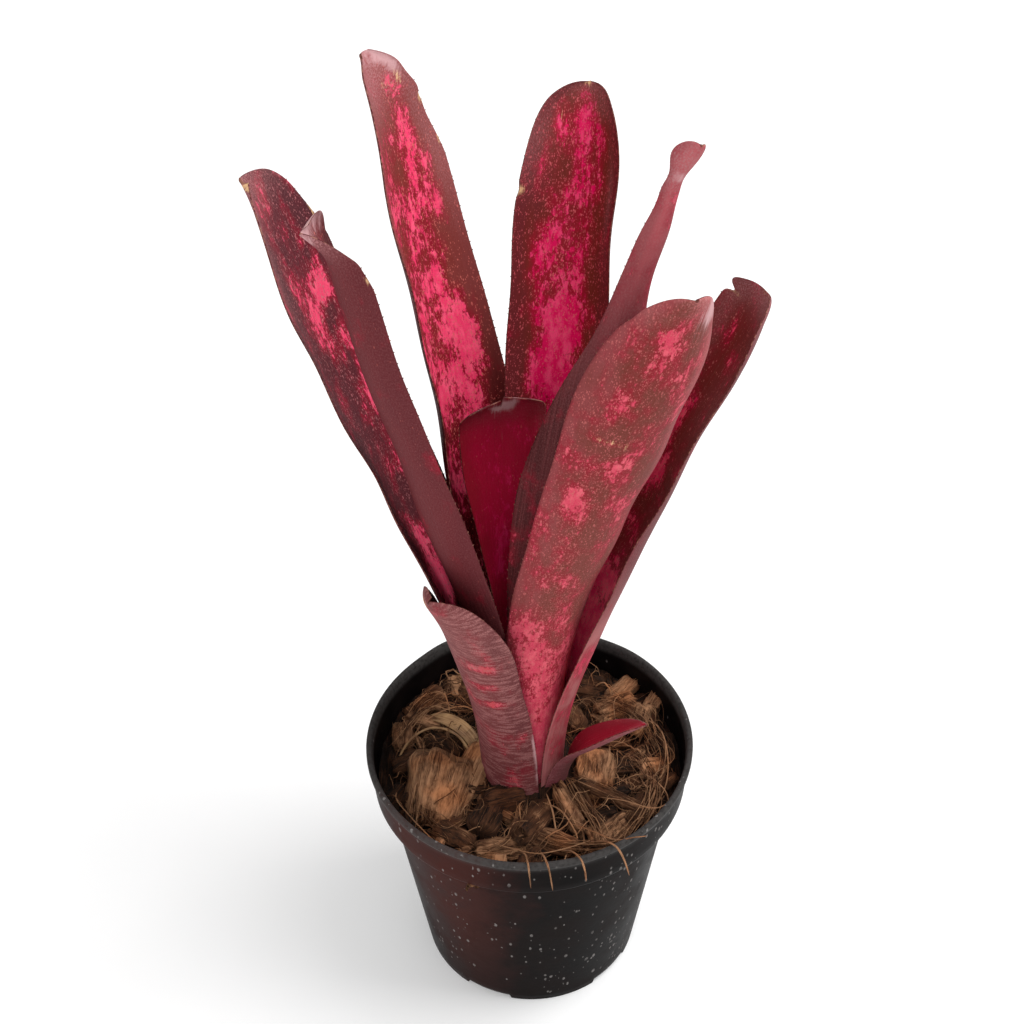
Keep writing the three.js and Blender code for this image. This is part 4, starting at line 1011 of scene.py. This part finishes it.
# %% Strands
def tubes(paths, radii, tone):
    """Four-sided tubes along paths of shape (strands, points, 3), each tapering as
    (1 - 0.93 t^4)^(1/2) at its ends, where t runs from -1 to 1."""
    count, steps = paths.shape[:2]
    forward = np.gradient(paths, axis=1)
    forward /= np.linalg.norm(forward, axis=2)[..., None]
    side = np.cross(forward, [0.02, 0.03, 1.0])
    side /= np.linalg.norm(side, axis=2)[..., None]
    above = np.cross(side, forward)
    t = np.linspace(-1, 1, steps)
    radius = radii[:, None, None, None] * np.sqrt(1 - 0.93 * t**4)[None, :, None, None]
    turn = np.arange(4) / 4 * 2 * np.pi
    cosine, sine = np.cos(turn)[None, None, :, None], np.sin(turn)[None, None, :, None]
    ring = cosine * side[:, :, None] + sine * above[:, :, None]
    points = (paths[:, :, None] + radius * ring).reshape(-1, 3)
    one = grid_faces(steps, 4, True)
    starts = np.arange(count) * steps * 4
    faces = list((one[None] + starts[:, None, None]).reshape(-1, 4))
    faces += [[s + k for k in (3, 2, 1, 0)] for s in starts]
    faces += [[s + (steps - 1) * 4 + k for k in range(4)] for s in starts]
    down = np.arange(steps)[None, :, None] * 0.002 + starts[:, None, None] * 0.01
    uv = np.stack(np.broadcast_arrays(turn[None, None] * 0.0002, down), -1)
    return points, faces, uv.reshape(-1, 2), {"tone": np.repeat(tone, steps * 4)}, 0


def loose_strands(count, steps=14):
    """Wandering lines: the heading at t is a + c * (t - 1/2) + w * sin(k t); the height
    follows the bed plus an arch 4 t (1 - t), with both ends down in the mix."""
    tries = count * 4
    way, r = MESS.uniform(0, 2 * np.pi, tries), np.sqrt(MESS.uniform(17**2, 55**2, tries))
    length = MESS.gamma(4.0, 5.0, tries).clip(8, 46)
    t = np.linspace(0, 1, steps)[None]
    heading = MESS.uniform(0, 6.3, (tries, 1)) + MESS.normal(0, 1.5, (tries, 1)) * (t - 0.5)
    heading = heading + MESS.normal(0, 0.5, (tries, 1)) * np.sin(MESS.uniform(4, 12, (tries, 1)) * t)
    step = (length / (steps - 1))[:, None]
    x = (r * np.cos(way))[:, None] + np.cumsum(np.cos(heading) * step, 1)
    y = (r * np.sin(way))[:, None] + np.cumsum(np.sin(heading) * step, 1)
    away = np.hypot(x - PLANT[0], y - PLANT[1]).min(1)
    reach = np.hypot(x, y).max(1)
    kept = np.flatnonzero((away > 16.8) & (reach < 56.0))[:count]
    x, y, t = x[kept], y[kept], np.broadcast_to(t, x[kept].shape)
    arch = MESS.gamma(2.0, 1.7, len(kept)).clip(0.5, 8)[:, None]
    z = bed_height(x, y) + 1.3 + arch * 4 * t * (1 - t) - 2.2 * np.abs(2 * t - 1) ** 6
    radii = MESS.gamma(2.4, 0.055, len(kept)).clip(0.06, 0.42)
    return tubes(np.stack([x, y, z], -1), radii, MESS.uniform(0.2, 1.3, len(kept)))


def smooth_path(knots, steps=26):
    """A line through a few knots: piecewise cubic with the neighbours' slopes."""
    knots = np.array(knots, float)
    slope = np.gradient(knots, axis=0)
    at = np.linspace(0, len(knots) - 1, steps)
    k = np.minimum(at.astype(int), len(knots) - 2)
    t = (at - k)[:, None]
    return ((2 * t**3 - 3 * t**2 + 1) * knots[k] + (t**3 - 2 * t**2 + t) * slope[k]
            + (3 * t**2 - 2 * t**3) * knots[k + 1] + (t**3 - t**2) * slope[k + 1])


OVER_RIM = [
    [(-6, -40, 88), (-2, -53, 103), (-1, -59.5, 106.4), (-0.5, -62.2, 104), (0, -63.0, 97)],
    [(2, -42, 88), (4, -54, 104), (5.5, -60, 106.8), (6.5, -62.4, 104), (7.5, -63.2, 96)],
    [(10, -40, 88), (14, -52, 103), (17, -58, 106.4), (18.4, -60.6, 104), (19, -61.0, 98)],
    [(20, -36, 88), (26, -48, 103), (29.5, -53, 106.4), (32, -56.4, 104), (34, -57.8, 97)],
    [(12, -28, 90), (20, -38, 98), (29, -47, 103), (36, -48.5, 105.9), (40.5, -47.6, 105.5)],
    [(24, -18, 92), (34, -27, 100), (43, -33, 103), (49, -30, 102.5), (54, -22, 104)],
    [(-16, -36, 89), (-8, -46, 98), (2, -52, 102), (12, -50, 102), (22, -42, 97)],
    [(44, -26, 91), (50, -14, 95), (51, 0, 97), (49, 12, 96), (44, 20, 93)],
    [(30, -12, 91), (41, -10, 95), (48, -18, 97), (50, -24, 95), (47, -29, 90)],
    [(-46, -6, 88), (-49, -18, 93), (-44, -28, 95), (-36, -36, 92), (-30, -38, 87)],
    [(-48, 10, 88), (-38, 20, 94), (-26, 24, 96), (-19, 22, 93), (-16, 19, 88)],
    [(6, -19, 95), (8, -26, 94), (9, -32, 92), (10, -38, 90), (9, -44, 87)],
    [(4, -21, 93), (11, -27, 95), (16, -35, 93), (18, -42, 90), (24, -46, 86)],
]
RIM_RADII = np.array([0.34, 0.36, 0.40, 0.42, 0.26, 0.24, 0.24, 0.26, 0.22, 0.24, 0.26, 0.34, 0.3])


def bundle(knots, count, spread, steps=18):
    """Many fine strands round one path, each shifted by a slow random drift."""
    line = smooth_path(knots, steps)
    t = np.linspace(0, 1, steps)[None, :, None]
    start, end = (MESS.normal(0, spread, (count, 1, 3)) for _ in range(2))
    wiggle = MESS.normal(0, spread * 0.8, (count, 1, 3)) * np.sin(MESS.uniform(3, 11, (count, 1, 1)) * t)
    paths = line[None] + start * (1 - t) + end * t + wiggle
    return tubes(paths, MESS.uniform(0.07, 0.20, count), MESS.uniform(0.25, 1.2, count))


def fringe(at, size, turn=0, tilt=0, roll=0, tone=0.5, fan=0.0, bend=0.0, steps=9, **rest):
    """Fine fibres that lie along a chip's upper face and stick out of its ends. A
    fibre's line in the chip's own axes is (v, y * (1 + fan * v), t/2 + bend * v^2)."""
    length, width, thick = size
    count = int(length * width / 4.2)
    middle, reach = MESS.uniform(-0.8, 0.8, (count, 1)), MESS.uniform(0.2, 0.65, (count, 1))
    v = middle + reach * np.linspace(-1, 1, steps)[None]
    y = MESS.uniform(-0.5, 0.5, (count, 1)) * width * 0.92
    y = y * (1 + fan * v) + MESS.normal(0, 0.35, (count, 1)) * v + MESS.normal(0, 0.12, v.shape)
    z = thick / 2 * (1 - (2 * y / width / 1.05) ** 6).clip(0, 1) ** 0.4 + bend * v**2
    z = z + MESS.uniform(-0.15, 0.25, (count, 1)) + MESS.normal(0, 0.08, v.shape)
    z = z - 1.5 * np.clip(np.abs(v) - 1, 0, 1)
    paths = np.stack([v * length / 2, y, z], -1) @ spin(turn, tilt, roll).T + np.array(at)
    return tubes(paths, MESS.uniform(0.07, 0.17, count), tone + MESS.normal(0.05, 0.22, count))


BUNDLES = [
    ([(14, -12, 94), (19, -22, 94), (25, -33, 93), (28, -42, 90)], 26, 1.3),
    ([(40, 2, 92), (45, -10, 94), (44, -22, 94), (38, -34, 92)], 34, 1.6),
    ([(48, 14, 92), (51, 2, 95), (49, -10, 96), (44, -18, 94)], 22, 1.2),
    ([(-2, -24, 95), (-4, -32, 93), (-10, -40, 91), (-20, -44, 89)], 24, 1.4),
    ([(2, -36, 91), (12, -42, 93), (24, -43, 94), (34, -38, 92)], 26, 1.3),
    ([(26, 30, 92), (36, 26, 94), (44, 16, 95), (48, 6, 93)], 22, 1.5),
    ([(-22, 24, 92), (-34, 26, 94), (-44, 18, 93), (-50, 6, 90)], 18, 1.5),
    ([(-30, 36, 91), (-40, 30, 94), (-46, 20, 93)], 12, 1.3),
    ([(-20, -26, 92), (-30, -32, 92), (-36, -28, 92), (-44, -18, 90)], 14, 1.3),
]

# %% Put the mix together
parts = [bed()] + [chip(**one) for one in CHIPS] + small_chips(115)
points, faces, uv, marks, slots = join_parts(parts)
mix = build("husk_mix", place(points), faces, uv, marks)
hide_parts("potting_mix")
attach(mix, "root")

strands = [fringe(**one) for one in CHIPS] + [loose_strands(700)]
strands += [bundle(*one) for one in BUNDLES]
lines = np.array([smooth_path(knots) for knots in OVER_RIM])
strands.append(tubes(lines, RIM_RADII, np.linspace(0.8, 1.15, len(OVER_RIM))))
points, faces, uv, marks, slots = join_parts(strands)
coir = build("coir_strands", place(points), faces, uv, marks)
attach(coir, "root")
print("faces of the mix:", len(mix.data.polygons), "and of the strands:", len(coir.data.polygons))

# %% [markdown]
# One finish serves chips, strands and bed. Fibres are noise that is stretched along
# the grain, and each chip carries a tone of its own, from dark wet bark to pale husk.

# %% Husk finish
husk_finish, tree, shader = finish_of("husk", Roughness=0.85, Specular_IOR_Level=0.2)
grain_place = put(tree, "UVMap", {"uv_map": "skin"}).outputs[0]
tone = put(tree, "Attribute", {"attribute_name": "tone"}).outputs["Fac"]
spot = put(tree, "TexCoord").outputs["Object"]
fibre = noise(tree, scaled(tree, grain_place, (1.0, 0.035, 1.0)), 2300.0, 4.0, 0.75, 0.1)
blotch = noise(tree, spot, 130.0, 4.0, 0.65)
value = calc(tree, "MULTIPLY_ADD", calc(tree, "SUBTRACT", fibre, 0.5), 2.0, tone)
value = calc(tree, "MULTIPLY_ADD", calc(tree, "SUBTRACT", blotch, 0.5), 0.9, value)
colour = mixed(tree, rise(tree, value, -0.1, 0.42), (0.007, 0.0028, 0.0012, 1), (0.068, 0.026, 0.0105, 1))
colour = mixed(tree, rise(tree, value, 0.40, 1.12), colour, (0.40, 0.205, 0.105, 1))
reddish = rise(tree, noise(tree, spot, 60.0, 2.0), 0.45, 0.65)
warm = mixed(tree, reddish, (1.0, 1.0, 1.0, 1), (1.10, 0.88, 0.72, 1))
wire(tree, shader.inputs["Base Color"], mixed(tree, 1.0, colour, warm, "MULTIPLY"))
height = calc(tree, "MULTIPLY_ADD", blotch, 0.5, fibre)
wire(tree, shader.inputs["Normal"], bumped(tree, height, 0.8, 0.0012))
mix.data.materials.append(husk_finish)
coir.data.materials.append(husk_finish)

# %% [markdown]
# Among the mix lie a dry leaf strip, curled up off the bed, and a thin dry stalk.
# The strip is a grid like a leaf: a lens-shaped outline on an arched middle line, with
# its section bent to a shallow channel, and given a thickness as a closed loop.

# %% Dry strip and stalk
def dry_strip(knots, width, thick=0.5, rows=40, columns=9):
    """Rows of half width w * (sin(pi t))^0.6 across the path, sagging as u^2."""
    line = smooth_path(knots, rows)
    forward = np.gradient(line, axis=0)
    side = np.cross(forward, [0, 0, 1.0])
    side /= np.linalg.norm(side, axis=1)[:, None]
    above = np.cross(side, forward)
    above /= np.linalg.norm(above, axis=1)[:, None]
    t, u = np.linspace(0.02, 0.98, rows), np.linspace(-1, 1, columns)
    half = width / 2 * np.sin(np.pi * t) ** 0.6
    across = side[:, None] * (half[:, None] * u[None])[..., None]
    channel = above[:, None] * (0.35 * half[:, None] * (u**2)[None])[..., None]
    upper = line[:, None] + across + channel + above[:, None] * thick / 2
    lower = (line[:, None] + across + channel - above[:, None] * thick / 2)[:, ::-1]
    points = np.concatenate([upper, lower], 1).reshape(-1, 3)
    uv = np.stack([np.tile(np.r_[u, u[::-1]], rows) * width / 2 * MM, np.repeat(t, 2 * columns) * 0.02], 1)
    return points, capped(rows, 2 * columns, flip=True), uv, {"tone": np.full(len(points), 1.0)}, 0


strip = dry_strip([(-40, 23, 90.5), (-34, 19.5, 94), (-27, 14, 95.5), (-21.5, 8, 94), (-19, 2, 90)], 6.0)
stalk_knots = [(-52, -3, 87), (-46, 8, 93), (-37, 13, 96), (-27, 9, 96), (-20.5, -1, 92), (-19.5, -9, 89)]
stalk = tubes(np.array([smooth_path(stalk_knots, 34)]), np.array([0.6]), np.array([0.9]))
points, faces, uv, marks, slots = join_parts([strip, stalk])
dry = build("dry_leaf_strip", place(points), faces, uv, marks)
dry_finish, tree, shader = finish_of("dry leaf", Roughness=0.6, Specular_IOR_Level=0.3)
grain_place = put(tree, "UVMap", {"uv_map": "skin"}).outputs[0]
lines = noise(tree, scaled(tree, grain_place, (1.0, 0.06, 1.0)), 2200.0, 3.0, 0.6)
wear = noise(tree, put(tree, "TexCoord").outputs["Object"], 180.0, 3.0)
colour = mixed(tree, rise(tree, wear, 0.35, 0.7), (0.36, 0.20, 0.085, 1), (0.17, 0.08, 0.036, 1))
colour = mixed(tree, rise(tree, lines, 0.4, 0.7, 0.0, 0.5), colour, (0.50, 0.33, 0.17, 1))
wire(tree, shader.inputs["Base Color"], colour)
wire(tree, shader.inputs["Normal"], bumped(tree, lines, 0.5, 0.0005))
dry.data.materials.append(dry_finish)
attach(dry, "root")

# %% [markdown]
# The short stem keeps its solid. It is hidden by the leaf bases, so it only gets a
# woody finish of its own, pale brown with rings where old leaves were.

# %% Stem finish
stem_finish, tree, shader = finish_of("stem", Roughness=0.8)
spot = put(tree, "TexCoord").outputs["Object"]
rings = put(tree, "TexWave", {"bands_direction": "Z"}, Vector=spot, Scale=90.0, Distortion=3.0, Detail=2.0)
colour = mixed(tree, rings.outputs["Fac"], (0.22, 0.11, 0.06, 1), (0.40, 0.24, 0.16, 1))
wire(tree, shader.inputs["Base Color"], colour)
wire(tree, shader.inputs["Normal"], bumped(tree, rings.outputs["Fac"], 0.5, 0.0008))
for slot in bpy.data.objects["stem"].material_slots:
    slot.material = stem_finish

# %% [markdown]
# ## The stand and the light
# The plant is on a plain pale floor, which also glows faintly of its own, more the further
# it lies from the pot: painted light. A large soft light stands high on the right, so
# that the shadow falls softly to the left, and a bright surround fills the rest.

# %% Floor, lights and surround
corners = np.array([[-3, -3, 0], [3, -3, 0], [3, 3, 0], [-3, 3, 0]])
floor = build("floor", corners, [[0, 1, 2, 3]], smooth=False)
floor_finish, tree, shader = finish_of("pale floor", Roughness=0.7)
floor_spot = put(tree, "TexCoord").outputs["Object"]
paper = noise(tree, floor_spot, 40.0)
wire(tree, shader.inputs["Base Color"], mixed(tree, paper, (0.91, 0.91, 0.91, 1), (0.93, 0.93, 0.93, 1)))
# Painted light: the floor glows faintly near the pot and more towards its far edges, so it reads white and
# the shadow stays light.
away = put(tree, "VectorMath", {"operation": "LENGTH"})
wire(tree, away.inputs[0], floor_spot)
far = rise(tree, away.outputs["Value"], 0.2, 1.1)
wire(tree, shader.inputs["Emission Color"], mixed(tree, far, (0.09, 0.09, 0.09, 1), (0.36, 0.36, 0.36, 1)))
shader.inputs["Emission Strength"].default_value = 1.0
floor.data.materials.append(floor_finish)

def lamp(name, at, size, power, target=(0, 0, 0.15)):
    """A square area light at a point, aimed at the target."""
    data = bpy.data.lights.new(name, "AREA")
    data.size, data.energy = size, power
    light = bpy.data.objects.new(name, data)
    bpy.context.scene.collection.objects.link(light)
    direction = Vector(target) - Vector(at)
    aim = direction.to_track_quat("-Z", "Y").to_matrix().to_4x4()
    light.matrix_world = Matrix.Translation(Vector(at)) @ aim
    return light

lamp("key", (0.62, 0.0, 1.25), 0.8, 13.0)
lamp("front fill", (-0.4, -1.3, 0.9), 1.2, 8.0)
surround = bpy.data.worlds.new("surround")
surround.use_nodes = True
tree = surround.node_tree
seen = put(tree, "LightPath").outputs["Is Camera Ray"]
background = tree.nodes["Background"]
background.inputs["Color"].default_value = (1, 1, 1, 1)
wire(tree, background.inputs["Strength"], rise(tree, seen, 0.0, 1.0, 0.66, 1.0))
bpy.context.scene.view_settings.view_transform = "Standard"
bpy.context.scene.world = surround
